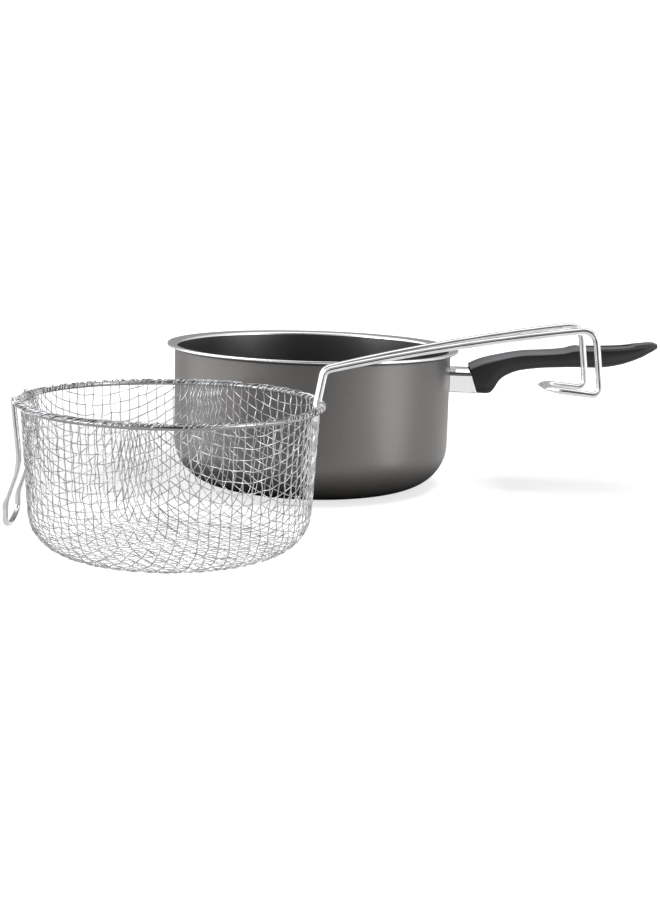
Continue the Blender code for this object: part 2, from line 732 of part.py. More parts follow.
def make_basket_handle(material, parent):
    """One wire: up from the ring, along the arm, down, back, across and home again."""
    side = [riser_foot(), (ARM_BEND_REACH, ARM_BEND_HEIGHT)]
    for step in range(1, ARM_STEPS):
        u = step / ARM_STEPS
        reach = ARM_BEND_REACH + (ARM_END_REACH - ARM_BEND_REACH) * u
        height = ARM_BEND_HEIGHT + (ARM_END_HEIGHT - ARM_BEND_HEIGHT) * u
        side.append((reach, height + ARM_BOW * 4 * u * (1 - u)))
    cross = (END_LOW_REACH - END_RETURN, END_LOW_HEIGHT + END_RETURN_RISE)
    side += [(ARM_END_REACH, ARM_END_HEIGHT), (END_LOW_REACH, END_LOW_HEIGHT), cross]
    corners = [Vector((reach, arm_spread(reach), height)) for reach, height in side]
    corners.append(Vector((cross[0], 0, cross[1])))
    radii = [ARM_BEND_RADIUS] + [ARM_END_REACH] * (ARM_STEPS - 1)
    radii += [END_TOP_RADIUS, END_LOW_RADIUS, END_LOW_RADIUS]
    route = bent_route(corners, radii)
    route = route + mirrored(route[:-1])
    return wire_object("basket_handle", route, ARM_WIRE, ARM_AZIMUTH, material, parent)


def make_drain_hook(material, parent):
    """Wire loop that hooks over the pot's lip while the basket drains."""
    top_radius = RING_RADIUS + RING_WIRE / 2 + SEAT_GAP + HOOK_WIRE / 2
    top_reach = math.sqrt(top_radius ** 2 - HOOK_SPREAD ** 2)
    net_radius = NET_RIM_RADIUS - (NET_RIM_HEIGHT - HOOK_WAIST_HEIGHT) * math.tan(NET_LEAN)
    waist_radius = net_radius + NET_BAR / 2 + HOOK_NET_GAP + HOOK_WIRE / 2
    waist_reach = math.sqrt(waist_radius ** 2 - HOOK_SPREAD ** 2)
    flare_reach = waist_reach + HOOK_FLARE_REACH
    corners = [
        Vector((top_reach, HOOK_SPREAD, RING_HEIGHT + HOOK_TOP_RISE)),
        Vector((waist_reach, HOOK_SPREAD, HOOK_WAIST_HEIGHT)),
        Vector((flare_reach, HOOK_SPREAD, HOOK_FLARE_HEIGHT)),
    ]
    loop = []
    for step in range(1, HOOK_LOOP_STEPS // 2 + 1):
        turn = math.pi * step / HOOK_LOOP_STEPS
        reach = flare_reach + HOOK_FOOT_REACH * math.sin(turn)
        place = (reach, HOOK_SPREAD * math.cos(turn), HOOK_FLARE_HEIGHT - HOOK_SPREAD * math.sin(turn))
        loop.append(Vector(place))
    route = bent_route(corners, [HOOK_WAIST_BEND]) + loop
    route = route + mirrored(route[:-1])
    return wire_object("drain_hook", route, HOOK_WIRE, HOOK_AZIMUTH, material, parent)


def main():
    """Build the pot with its handle, then the basket beside it."""
    clear_scene()
    coated = make_material("grey_coating", (0.115, 0.108, 0.104), 0.38, 0.6)
    bakelite = make_material("black_bakelite", (0.012, 0.012, 0.013), 0.34, 0.0)
    chrome = make_material("bright_sheet", (0.78, 0.78, 0.79), 0.12, 1.0)
    steel = make_material("bracket_steel", (0.46, 0.46, 0.47), 0.35, 1.0)
    zinc = make_material("screw_zinc", (0.62, 0.62, 0.60), 0.30, 1.0)
    tinned = make_material("tinned_wire", (0.72, 0.72, 0.73), 0.20, 1.0)
    make_pot(coated)
    make_bracket(steel)
    make_flame_guard(chrome)
    make_grip(bakelite)
    make_screw(zinc)
    basket = bpy.data.objects.new("basket", None)
    bpy.context.scene.collection.objects.link(basket)
    basket.location = basket_place()
    make_net(tinned.copy(), basket)
    make_ring(tinned.copy(), basket)
    make_basket_handle(tinned.copy(), basket)
    make_drain_hook(tinned.copy(), basket)


main()
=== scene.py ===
"""Fine surfaces, finishes and studio for a deep fry pot with its wire frying basket.

The frame gives every place. Lengths are in metres and angles in radians. The pot's
axis is the Z axis, its handle runs out along +X, and the basket stands in front.
"""
import math
from functools import partial

import bmesh
import bpy
import numpy as np
from bpy.props import FloatProperty, FloatVectorProperty, IntProperty, PointerProperty
from mathutils import Matrix, Vector


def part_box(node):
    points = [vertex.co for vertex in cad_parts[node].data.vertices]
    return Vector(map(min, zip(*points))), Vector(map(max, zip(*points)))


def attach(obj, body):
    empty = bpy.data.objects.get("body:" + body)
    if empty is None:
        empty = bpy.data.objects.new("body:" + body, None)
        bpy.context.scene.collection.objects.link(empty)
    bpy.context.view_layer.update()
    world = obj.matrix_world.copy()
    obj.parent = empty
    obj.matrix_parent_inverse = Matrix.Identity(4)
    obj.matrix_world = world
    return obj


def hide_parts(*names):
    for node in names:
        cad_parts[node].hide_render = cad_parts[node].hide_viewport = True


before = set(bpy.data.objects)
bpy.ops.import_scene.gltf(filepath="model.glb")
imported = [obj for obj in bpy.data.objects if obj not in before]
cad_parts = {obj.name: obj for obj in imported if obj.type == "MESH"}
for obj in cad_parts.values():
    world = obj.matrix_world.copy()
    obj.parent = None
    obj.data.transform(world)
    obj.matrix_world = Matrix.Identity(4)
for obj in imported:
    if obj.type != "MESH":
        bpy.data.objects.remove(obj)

bl_info = {
    "name": "Fry Pot and Basket",
    "version": (1, 0, 0),
    "blender": (4, 5, 0),
    "location": "3D Viewport > Sidebar > Fry Pot",
    "description": "Dresses a frying pot and its wire basket with fine surfaces and finishes",
    "category": "Add Mesh",
}

POT_SIDES = 256
WIRE_SIDES = 24
CLOTH_SIDES = 6
CLOTH_SAMPLES = 6  # points of a woven wire from one crossing to the next
EASING_ROUNDS = 300  # of the net's crossings
PRESS_FADE = 0.006  # length of wire over which the crosspiece's press fades
MIRROR = (1, -1, 1)  # to the other side of a middle plane

# Steps of the grip's half section round the slot's edge, over the crown and down the side
SLOT_STEPS, CROWN_STEPS, SIDE_STEPS = 6, 14, 30
# Columns of its crown faces that get the grained finish with its painted sheen, towards the guard
# and towards the tip, and where that changes
SHEEN_AND_GRAIN_COLUMNS = (SLOT_STEPS + CROWN_STEPS, 14)
SHEEN_AND_GRAIN_NARROWS = 0.62

# Places that the frame gives
POT_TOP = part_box("pot_body")[1]
GUARD_LOW, GUARD_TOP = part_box("flame_guard")
GRIP_LOW, GRIP_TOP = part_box("handle_grip")
GRIP_LENGTH = GRIP_TOP.x - GRIP_LOW.x
RING_LOW, RING_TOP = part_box("rim_ring")
RING_MIDDLE = (RING_LOW + RING_TOP) / 2
RING_WIRE = RING_TOP.z - RING_LOW.z
RING_RADIUS = (RING_TOP.x - RING_LOW.x - RING_WIRE) / 2

# The noise's values that a finish's two colours and its two roughnesses stand at
MOTTLE_RANGE = (0.35, 0.65)
WEAR_RANGE = (0.3, 0.7)

# Patches of the room: direction, place it is seen from, tallness, half angles, brightness
ROOM_PATCHES = (
    ((0.10, -0.98, 0.02), (-0.06, -0.22, 0.10), 1.0, 11.5, 20.0, 0.02),
    ((0.45, -0.70, 0.55), (0.00, 0.00, 0.00), 1.0, 14.0, 32.0, 0.35),
    ((0.02, -0.93, 0.36), (0.00, 0.00, 0.15), 1.0, 16.0, 36.0, 0.45),
    ((0.00, -0.50, 0.87), (0.00, 0.00, 0.15), 1.0, 12.0, 30.0, 0.45),
    ((-0.40, 0.90, 0.10), (0.00, 0.00, 0.00), 0.55, 28.0, 56.0, 0.75),
    ((0.10, -0.05, 0.99), (0.00, 0.00, 0.00), 1.0, 14.0, 44.0, 2.0),
    ((0.00, 0.85, 0.52), (0.00, 0.00, 0.00), 1.0, 22.0, 54.0, 0.40),
    ((0.95, -0.31, 0.00), (0.07, -0.10, 0.06), 2.6, 7.0, 20.0, 2.5),
    ((-0.98, 0.16, 0.00), (-0.09, -0.08, 0.06), 2.6, 10.0, 30.0, 2.1),
    ((0.78, -0.58, 0.26), (0.00, 0.00, 0.50), 1.0, 8.0, 20.0, 3.7),
    ((-0.83, -0.50, 0.26), (0.00, 0.00, 0.50), 1.0, 8.0, 20.0, 6.6),
)

# Pools of painted light on the floor round pot and basket, which wash out their contact shadows:
# middle, and the radii where that starts and ends its fade
FLOOR_POOLS = (
    ((0, 0, 0), 0.10, 0.26),
    ((RING_MIDDLE.x, RING_MIDDLE.y, 0), 0.11, 0.26),
    ((0.08, -0.25, 0), 0.12, 0.26),
)

# Crest along and up, keel along and up, width, as shares of the grip's length, rise and width
GRIP_STATIONS = (
    (0.000, 0.530, 0.051, 0.000, 0.74),
    (0.053, 0.612, 0.114, 0.002, 0.76),
    (0.098, 0.660, 0.141, 0.080, 0.76),
    (0.146, 0.699, 0.166, 0.222, 0.74),
    (0.213, 0.748, 0.201, 0.326, 0.70),
    (0.292, 0.791, 0.268, 0.419, 0.66),
    (0.390, 0.813, 0.377, 0.476, 0.65),
    (0.493, 0.848, 0.487, 0.500, 0.72),
    (0.566, 0.906, 0.566, 0.512, 0.84),
    (0.694, 0.915, 0.694, 0.520, 0.98),
    (0.803, 0.936, 0.803, 0.585, 1.00),
    (0.900, 0.978, 0.900, 0.707, 0.92),
    (0.967, 0.998, 0.961, 0.822, 0.68),
    (1.000, 0.957, 0.996, 0.890, 0.30),
)


def setting(kind, **fixed):
    """A maker of settings of one kind, called with a default and a description."""
    return lambda default, description: partial(
        kind, default=default, description=description, **fixed)


length = setting(FloatProperty, unit="LENGTH", precision=5)
share = setting(FloatProperty, subtype="FACTOR", min=0, max=1)
number = setting(FloatProperty)
whole = setting(IntProperty)
spot = setting(FloatVectorProperty, subtype="TRANSLATION", size=3)
paint = setting(FloatVectorProperty, subtype="COLOR", size=3, min=0, max=1)
radians = setting(FloatProperty, subtype="ANGLE")


def angle(degrees, description):
    """An angle whose default is given in degrees."""
    return radians(math.radians(degrees), description)


def named(group):
    """Gives each setting of a group its name, which is its key in words."""
    for key, make in group.__annotations__.items():
        group.__annotations__[key] = make(name=key.replace("_", " ").title())
    return group


@named
class PotSettings(bpy.types.PropertyGroup):
    """Sizes of the pot and its handle."""
    wall_radius: length(0.120, "Outer radius of the pot's upright wall")
    sheet: length(0.0020, "Thickness of the pressed sheet")
    corner_radius: length(0.036, "Outer radius between base and wall")
    lip_bend: length(0.0016, "Middle radius of the bend under the lip")
    lip_reach: length(0.00719, "From the wall's middle out to the lip's edge")
    lip_turn: angle(83, "How far the lip is turned outward")
    edge_round: length(0.0005, "How far the lip's cut edge bulges")
    grip_rise: length(0.0492, "Height from the grip's keel to its crest line")
    grip_width: length(0.0275, "Width of the grip's wide end")
    crown_root: length(0.0047, "Crown over the ridges by the guard")
    crown_end: length(0.0036, "Crown over the ridges by the tip")
    squareness: number(3.2, "Power of the rounded underside")
    tip_round: length(0.0012, "Length of the rounding at the grip's tip")
    slot_length: length(0.050, "Length of the hanging slot")
    slot_width: length(0.011, "Width of the hanging slot")
    slot_setback: length(0.0214, "From the slot's end to the grip's tip")
    slot_round: length(0.0008, "Rounding of the slot's edges")
    guard_sheet: length(0.0008, "Thickness of the flame guard's sheet")
    guard_crown: length(0.0040, "Height of the guard's crown over its creases")
    guard_hem: length(0.0002, "How far the guard's hem stands proud")
    guard_taper: length(0.0014, "How far the guard's side leans in to its foot")
    guard_bend: length(0.0016, "Radius of the guard's lower bends")
    guard_groove: length(0.0007, "Depth of the groove under the creases")
    seat_gap: length(0.0003, "Gap that touching pieces keep")


@named
class BasketSettings(bpy.types.PropertyGroup):
    """Sizes of the wire basket."""
    cloth_wire: length(0.00075, "Diameter of the woven wires")
    pitch: length(0.0075, "Distance between neighbouring woven wires")
    cloth_turn: angle(38, "Turn of the weave about the basket's axis")
    corner_radius: length(0.027, "Radius between the basket's floor and wall")
    lean: angle(3, "Outward lean of the basket's wall")
    rim_inset: length(0.0019, "From the ring's middle line in to the cloth")
    rim_drop: length(0.0022, "From the ring's middle down to where the ends curl")
    lock_angle: angle(24, "Least angle between wires that the weave allows")
    unevenness: length(0.00035, "How far a crossing may lie from its place")
    curl_wrap: angle(192, "How far a wire's end turns about the ring's wire")
    curl_run: length(0.0090, "How far a wire's end runs along the ring")
    curl_lift: length(0.0008, "How far the loosest end stands off the ring")
    arm_wire: length(0.0048, "Diameter of the handle's wire")
    arm_azimuth: angle(4.5, "Direction of the basket's handle")
    root_spread: length(0.0055, "Half the distance between the arms at the ring")
    end_spread: length(0.0205, "Half the distance between the arms at their end")
    bend_offset: length(0.0010, "From the ring's radius out to the riser's bend")
    bend_rise: length(0.0253, "From the ring up to the riser's bend")
    foot_shift: length(0.0013, "How deep the riser's foot is welded in")
    arm_length: length(0.1854, "From the riser's bend out to the arm's end")
    arm_climb: length(0.0340, "How far the arm climbs along its length")
    arm_bow: length(0.0030, "How far the arm bows up between its ends")
    bend_radius: length(0.0060, "Radius of the riser's bend")
    end_top_radius: length(0.0094, "Radius of the bend at the arm's end")
    end_low_radius: length(0.0050, "Radius of the lower bends")
    end_drop: length(0.0461, "How far the wire drops at the arm's end")
    end_lean: length(0.0063, "How far the drop leans outward")
    end_return: length(0.0310, "How far the wire returns under the arm")
    return_rise: length(0.0033, "How far the return climbs")
    press_spread: share(0.9, "How much the press has widened the crosspiece")
    press_shift: length(0.0018, "How far the press has pushed it in")
    hook_wire: length(0.0038, "Diameter of the drain hook's wire")
    hook_azimuth: angle(180.5, "Direction of the drain hook")
    hook_spread: length(0.0190, "Half the width of the hook's loop")
    hook_top_rise: length(0.0036, "How far its ends stand above the ring's middle")
    hook_gap: length(0.0012, "Gap between the hook's waist and the cloth")
    waist_drop: length(0.0420, "From the ring down to the hook's waist")
    waist_bend: length(0.045, "Radius of the bend at the waist")
    flare_reach: length(0.0100, "How far the hook flares out below its waist")
    flare_drop: length(0.0280, "Height of the flare")
    flare_bend: length(0.025, "Radius of the bend under the flare")
    hang_drop: length(0.0100, "Height of the upright run under the flare")
    foot_drop: length(0.0085, "Height of the loop's round foot")
    foot_reach: length(0.0010, "How much further the loop's foot reaches")


@named
class FinishSettings(bpy.types.PropertyGroup):
    """Colours of the finishes."""
    outer_coat: paint((0.134, 0.128, 0.124), "Warm grey coating outside the pot")
    inner_coat: paint((0.013, 0.012, 0.012), "Dark coating inside the pot")
    bare_edge: paint((0.75, 0.75, 0.75), "Bare metal of the pot's lip")
    moulding: paint((0.005, 0.005, 0.006), "Black of the grip")
    # painted sheen: this grey, six times lighter than the grip's black, makes the crown look lit
    # from above
    grained: paint((0.030, 0.031, 0.034), "Grey sheen of the grip's grained crown")
    plating: paint((0.82, 0.82, 0.83), "Bright flame guard")
    tin: paint((0.70, 0.70, 0.71), "Tinned handle wires")
    worked_tin: paint((0.86, 0.86, 0.86), "Wire that press or weld has left rough")
    rim_tin: paint((0.30, 0.30, 0.31), "Tinned ring")
    hook_tin: paint((0.60, 0.60, 0.61), "Tinned hook")
    cloth_tin: paint((0.46, 0.46, 0.47), "Tinned net")
    # painted shade: a dark metal for the groove under the guard's creases, standing in for the
    # shade in it
    seam: paint((0.16, 0.16, 0.17), "Stained seam of the flame guard")
    steel: paint((0.46, 0.46, 0.47), "Handle bracket")
    zinc: paint((0.62, 0.62, 0.60), "Grip screw")


@named
class StudioSettings(bpy.types.PropertyGroup):
    """Floor, light and camera."""
    lens: number(54.0, "Focal length in millimetres")
    camera_place: spot((0.0175, -1.1768, 0.2434), "Where the camera stands")
    camera_pitch: angle(10.46, "How far the camera looks down")
    camera_roll: angle(1.76, "Turn about the line of sight")
    floor_size: length(12.0, "Side of the floor")
    floor_shade: share(0.28, "Colour of the floor")
    floor_lift: number(0.38, "Light that the floor shows to the camera")
    pool_lift: number(0.34, "Extra light close round pot and basket")
    floor_glow: number(0.95, "Light that the floor gives to the pieces")
    glow_start: length(0.10, "Radius where the floor's glow begins")
    glow_full: length(0.19, "Radius where the floor's glow is full")
    lift_start: length(0.28, "Radius where the floor's lift begins to grow")
    lift_full: length(0.75, "Radius where the floor's lift is full")
    sky_strength: number(1.1, "Brightness of the surroundings")
    top_power: number(38.0, "Power of the top light in watts")
    seed: whole(7, "Seed of the weave's unevenness")


# Meshes

def stack(*parts):
    """Arrays and numbers side by side, as a last axis."""
    return np.stack(np.broadcast_arrays(*parts), axis=-1)


def polar(radius, turn, *height):
    """Places at a radius and a turn about the axis, at a height where one is given."""
    return stack(radius * np.cos(turn), radius * np.sin(turn), *height)


def add_object(name, data):
    """A new object of the scene that shows the data."""
    item = bpy.data.objects.new(name, data)
    bpy.context.scene.collection.objects.link(item)
    return item


def new_piece(name, points, face_groups, materials, face_slots=None, crease=None):
    """An object from points and arrays of faces, each array with one count of corners.

    Where a crease angle is given, doubled points are merged, every face is pointed
    outward, and edges sharper than that angle stay sharp.
    """
    mesh = bpy.data.meshes.new(name)
    counts = np.concatenate([np.full(len(group), group.shape[1]) for group in face_groups])
    corners = np.concatenate([group.ravel() for group in face_groups])
    mesh.vertices.add(len(points))
    mesh.vertices.foreach_set("co", np.ascontiguousarray(points, np.float32).ravel())
    mesh.loops.add(len(corners))
    mesh.loops.foreach_set("vertex_index", corners.astype(np.int32))
    mesh.polygons.add(len(counts))
    starts = np.concatenate([[0], np.cumsum(counts)[:-1]])
    mesh.polygons.foreach_set("loop_start", starts.astype(np.int32))
    mesh.polygons.foreach_set("loop_total", counts.astype(np.int32))
    if face_slots is not None:
        mesh.polygons.foreach_set("material_index", face_slots.astype(np.int32))
    for material in materials:
        mesh.materials.append(material)
    mesh.update(calc_edges=True)
    mesh.shade_smooth()
    if crease is not None:
        shape = bmesh.new()
        shape.from_mesh(mesh)
        bmesh.ops.remove_doubles(shape, verts=shape.verts, dist=1e-6)
        bmesh.ops.recalc_face_normals(shape, faces=shape.faces)
        shape.to_mesh(mesh)
        shape.free()
        mesh.set_sharp_from_angle(angle=crease)
    return add_object(name, mesh)


def grid_quads(rows, columns, wrap_rows=False, wrap_columns=False, first=0):
    """Quads of a grid of points stored row after row, optionally joined round on itself."""
    row = np.arange(rows if wrap_rows else rows - 1)[:, None]
    column = np.arange(columns if wrap_columns else columns - 1)[None, :]
    after_row = (row + 1) % rows
    after_column = (column + 1) % columns
    return stack(
        row * columns + column, row * columns + after_column,
        after_row * columns + after_column, after_row * columns + column,
    ).reshape(-1, 4) + first


def ring_skin(grid, closed=False):
    """A grid of closed rings as points, quads and two end caps, or none where it is closed."""
    rings, sides = grid.shape[:2]
    ring = np.arange(sides)
    caps = np.stack([ring[::-1], ring + (rings - 1) * sides])[:0 if closed else 2]
    return grid.reshape(-1, 3), grid_quads(rings, sides, closed, True), caps


def turned(profile):
    """Surface of revolution: each profile point of radius and height runs round the Z axis.

    The profile starts and ends on the axis, where fans of triangles close it.
    """
    turn = np.linspace(0, math.tau, POT_SIDES, endpoint=False)
    radius, height = profile[1:-1, :1], profile[1:-1, 1:]
    rings = polar(radius, turn, height)
    poles = stack(0, 0, profile[[0, -1], 1])
    points = np.concatenate([poles[:1], rings.reshape(-1, 3), poles[1:]])
    quads = grid_quads(len(radius), POT_SIDES, wrap_columns=True, first=1)
    ring = np.arange(POT_SIDES)
    after = (ring + 1) % POT_SIDES
    last = 1 + (len(radius) - 1) * POT_SIDES
    start_fan = stack(0, 1 + after, 1 + ring)
    end_fan = stack(len(points) - 1, last + ring, last + after)
    return points, quads, start_fan, end_fan


def tube(path, radius, sides, reference, closed=False):
    """Round tube: circles across the path, one point of each towards the reference direction."""
    if closed:
        tangent = np.roll(path, -1, axis=0) - np.roll(path, 1, axis=0)
    else:
        tangent = np.gradient(path, axis=0)
    tangent = tangent / np.linalg.norm(tangent, axis=-1, keepdims=True)
    across = np.cross(tangent, np.broadcast_to(reference, path.shape))
    across = across / np.linalg.norm(across, axis=-1, keepdims=True)
    facing = np.cross(across, tangent)
    turn = np.linspace(0, math.tau, sides, endpoint=False)[None, :, None]
    circles = np.cos(turn) * facing[:, None] + np.sin(turn) * across[:, None]
    return ring_skin(path[:, None] + radius * circles, closed)


def joined(parts):
    """Several parts of points, quads and caps as one."""
    points, quads, caps = zip(*parts)
    firsts = np.cumsum([0] + [len(part) for part in points])
    shifted = [[faces + first for faces, first in zip(group, firsts)] for group in (quads, caps)]
    return [np.concatenate(group) for group in (points, *shifted)]


def arc(centre, radius, start, end, steps):
    """Points of an arc in a plane, both ends included."""
    return centre + polar(radius, np.linspace(start, end, steps + 1))


def spline(points, samples):
    """Catmull-Rom curve through the points, with so many samples in each span."""
    padded = np.concatenate([2 * points[:1] - points[1:2], points, 2 * points[-1:] - points[-2:-1]])
    before, start, end, after = (padded[k:len(padded) - 3 + k, None] for k in range(4))
    t = np.linspace(0, 1, samples, endpoint=False)[None, :, None]
    curve = 2 * start + (end - before) * t + (2 * before - 5 * start + 4 * end - after) * t ** 2
    curve = (curve + (3 * start - before - 3 * end + after) * t ** 3) / 2
    return np.concatenate([curve.reshape(-1, points.shape[1]), points[-1:]])


def rounded_route(corners, radii, step):
    """Straight runs between corners, each inner corner rounded by an arc, at an even step."""
    corners = [np.array(corner, float) for corner in corners]
    route = [corners[0][None]]
    for before, corner, after, radius in zip(corners, corners[1:], corners[2:], radii):
        back, on = ((to - corner) / np.linalg.norm(to - corner) for to in (before, after))
        half = math.acos(np.clip(back @ on, -1, 1)) / 2
        middle = (back + on) / np.linalg.norm(back + on)
        centre = corner + middle * radius / math.sin(half)
        start, end = (corner + way * radius / math.tan(half) - centre for way in (back, on))
        sweep = math.pi - 2 * half
        u = np.linspace(0, 1, max(3, math.ceil(sweep * radius / step)))[:, None]
        swung = start * np.sin((1 - u) * sweep) + end * np.sin(u * sweep)
        route.append(centre + swung / math.sin(sweep))
    route = np.concatenate([*route, corners[-1][None]])
    run = np.concatenate([[0], np.cumsum(np.linalg.norm(np.diff(route, axis=0), axis=-1))])
    even = np.linspace(0, run[-1], math.ceil(run[-1] / step) + 1)
    return stack(*(np.interp(even, run, route[:, axis]) for axis in range(3)))


def on_basket(points, azimuth):
    """Points given by reach, side and height, turned to their side of the basket's ring."""
    turn = np.array(Matrix.Rotation(azimuth, 3, "Z"))
    return points @ turn.T + [RING_MIDDLE.x, RING_MIDDLE.y, 0]


# Materials

def add_node(tree, kind, inputs=None, **settings):
    """A shader node with its settings, and its inputs each linked to a socket or set to a value."""
    node = tree.nodes.new("ShaderNode" + kind)
    for key, value in settings.items():
        setattr(node, key, value)
    connect(tree, node, inputs or {})
    return node


def connect(tree, node, inputs):
    """Link each named or numbered input to a socket, or set it to a plain value."""
    for key, value in inputs.items():
        if isinstance(value, bpy.types.NodeSocket):
            tree.links.new(value, node.inputs[key])
        else:
            node.inputs[key].default_value = value


def math_node(tree, operation, *inputs):
    """Result of a calculation with sockets and numbers."""
    return add_node(tree, "Math", dict(enumerate(inputs)), operation=operation).outputs["Value"]


def vector_node(tree, operation, *inputs):
    """Result of a vector calculation with sockets and plain vectors."""
    node = add_node(tree, "VectorMath", dict(enumerate(inputs)), operation=operation)
    return node.outputs["Value" if operation in ("DOT_PRODUCT", "LENGTH") else "Vector"]


def eased(tree, value, start, end, low, high, easing="SMOOTHSTEP"):
    """Value eased from one level to another between two marks."""
    marks = {"Value": value, "From Min": start, "From Max": end, "To Min": low, "To Max": high}
    return add_node(tree, "MapRange", marks, interpolation_type=easing).outputs["Result"]


def object_place(tree):
    """The object's own coordinates."""
    return add_node(tree, "TexCoord").outputs["Object"]


def object_noise(tree, stretch, scale, detail):
    """Noise on the object's own coordinates, stretched along its axes."""
    mapping = add_node(tree, "Mapping", {"Vector": object_place(tree), "Scale": stretch})
    spread = {"Vector": mapping.outputs["Vector"], "Scale": scale, "Detail": detail}
    return add_node(tree, "TexNoise", spread).outputs["Fac"]


def shader_of(material):
    """The finish's main shader."""
    return material.node_tree.nodes["Principled BSDF"]


def finish(name, colour, metallic, roughness, specular=0.5, mottle=None, wear=None, relief=None,
           stretch=(1, 1, 1)):
    """A Principled finish with its constant values set on its own sockets.

    Mottle, wear and relief each start with the scale and detail of their noise. Mottle goes
    on with the share by which the colour gets darker and lighter, wear with the two
    roughnesses that it goes between, and relief with its strength and depth.
    """
    material = bpy.data.materials.new(name)
    material.use_nodes = True
    tree, shader = material.node_tree, shader_of(material)
    connect(tree, shader, {
        "Base Color": (*colour, 1), "Metallic": metallic, "Roughness": roughness,
        "Specular IOR Level": specular,
    })
    if mottle:
        *noise, spread = mottle
        ramp = add_node(tree, "ValToRGB", {"Fac": object_noise(tree, stretch, *noise)})
        for element, position, side in zip(ramp.color_ramp.elements, MOTTLE_RANGE, (-1, 1)):
            element.position = position
            element.color = (*(min(1, c * (1 + side * spread)) for c in colour), 1)
        connect(tree, shader, {"Base Color": ramp.outputs["Color"]})
    if wear:
        *noise, smooth, rough = wear
        source = object_noise(tree, stretch, *noise)
        between = eased(tree, source, *WEAR_RANGE, smooth, rough, "LINEAR")
        connect(tree, shader, {"Roughness": between})
    if relief:
        *noise, strength, depth = relief
        height = object_noise(tree, stretch, *noise)
        bump = add_node(tree, "Bump", {"Height": height, "Strength": strength, "Distance": depth})
        connect(tree, shader, {"Normal": bump.outputs["Normal"]})
    return material


def outer_coating(colours):
    """Sprayed warm grey coating with a faint metallic fleck, and painted shade in a dark band under
    the lip.
    """
    material = finish(
        "outer_coating", colours.outer_coat, 0.70, 0.35, mottle=(2600, 1, 0.16),
        wear=(28, 3, 0.33, 0.38), relief=(900, 2, 0.10, 0.0002),
    )
    tree, shader = material.node_tree, shader_of(material)
    height = add_node(tree, "SeparateXYZ", {"Vector": object_place(tree)}).outputs["Z"]
    # painted shade: the coat's colour falls to a third in a band just under the lip, where the
    # lip's overhang shades the wall
    band_low, band_high, band_shade = POT_TOP.z - 0.0052, POT_TOP.z - 0.0038, 0.30
    painted_lip_shade = eased(tree, height, band_low, band_high, 1, band_shade)
    flecks = shader.inputs["Base Color"].links[0].from_socket
    shaded = add_node(tree, "VectorMath", {0: flecks, "Scale": painted_lip_shade}, operation="SCALE")
    connect(tree, shader, {"Base Color": shaded.outputs["Vector"]})
    return material


def inner_coating(colours):
    """Dark non-stick coating, a little smoother than the outside."""
    return finish(
        "inner_coating", colours.inner_coat, 0.0, 0.30, 0.95, mottle=(1800, 1, 0.22),
        wear=(40, 3, 0.30, 0.37), relief=(700, 2, 0.10, 0.0002),
    )


def black_moulding(name, colour, specular, roughness):
    """Black moulded plastic with the faint grain of its mould."""
    wear = (120, 3, roughness * 0.95, roughness * 1.1)
    return finish(name, colour, 0.0, roughness, specular, wear=wear, relief=(1400, 2, 0.12, 0.0002))


def bright_plating(colours):
    """Bright plated sheet with fine lines along its draw."""
    return finish(
        "bright_plating", colours.plating, 1.0, 0.12, wear=(260, 2, 0.08, 0.17),
        relief=(260, 2, 0.06, 0.0001), stretch=(0.06, 1, 1),
    )


def tinned_wire(name, tin, spread, roughness, relief):
    """Dip tinned wire, bright with a slightly uneven skin."""
    return finish(
        name, tin, 1.0, roughness, mottle=(90, 3, spread),
        wear=(260, 3, roughness * 0.7, roughness * 1.4), relief=(420, 2, relief, 0.0002),
    )


def worked_wire(name, tin):
    """Wire that the press or the weld has left rough and grey."""
    return finish(
        name, tin, 1.0, 0.30, mottle=(700, 3, 0.16), wear=(500, 3, 0.20, 0.50),
        relief=(650, 2, 0.9, 0.0005),
    )


def plain_metal(name, colour, roughness):
    """Metal with a fine uneven skin."""
    return finish(name, colour, 1.0, roughness, wear=(600, 3, roughness * 0.8, roughness * 1.3))


# Pot

def pot_profile(pot):
    """Half section from the base's middle round the lip and back to the floor's middle, with zones.

    Each skin of the sheet is a flat base, a round corner, an upright wall, a bend and a
    flat flange. The cut edge between them bulges in half a sine wave. The zones are the
    outer coating, the bare lip and the inner coating.
    """
    flat = pot.wall_radius - pot.corner_radius
    corner = (flat, pot.corner_radius)
    flange = (pot.lip_reach - pot.lip_bend * (1 - math.cos(pot.lip_turn))) / math.sin(pot.lip_turn)
    outward = np.array([math.sin(pot.lip_turn), math.cos(pot.lip_turn)])
    bend_low = POT_TOP.z - flange * outward[1] - (pot.lip_bend + pot.sheet / 2) * outward[0]
    bend = (pot.wall_radius - pot.sheet / 2 + pot.lip_bend, bend_low)
    skins = []
    for inset in (0, pot.sheet):
        radius = pot.lip_bend - pot.sheet / 2 + inset
        skin = np.concatenate([
            stack(np.linspace(0, flat, 8), inset)[:-1],
            arc(corner, pot.corner_radius - inset, -math.pi / 2, 0, 28),
            stack(bend[0] - radius, np.linspace(corner[1], bend_low, 11)[1:-1]),
            arc(bend, radius, math.pi, math.pi - pot.lip_turn, 16),
        ])
        steps = np.linspace(0, 1, 7)[1:, None]
        skins.append(np.concatenate([skin, skin[-1] + flange * outward * steps]))
    outside, inside = skins[0], skins[1][::-1]
    turn = np.linspace(0, math.pi, 8)[1:-1, None]
    middle, half = (outside[-1] + inside[0]) / 2, (inside[0] - outside[-1]) / 2
    edge = middle - half * np.cos(turn) + outward * pot.edge_round * np.sin(turn)
    profile = np.concatenate([outside, edge, inside])
    zones = np.where(np.minimum(profile[1:, 1], profile[:-1, 1]) > bend_low, 1, 2)
    bare_below = 14  # bare rings of faces under the lip
    zones[:len(outside) - bare_below] = 0
    return profile, zones


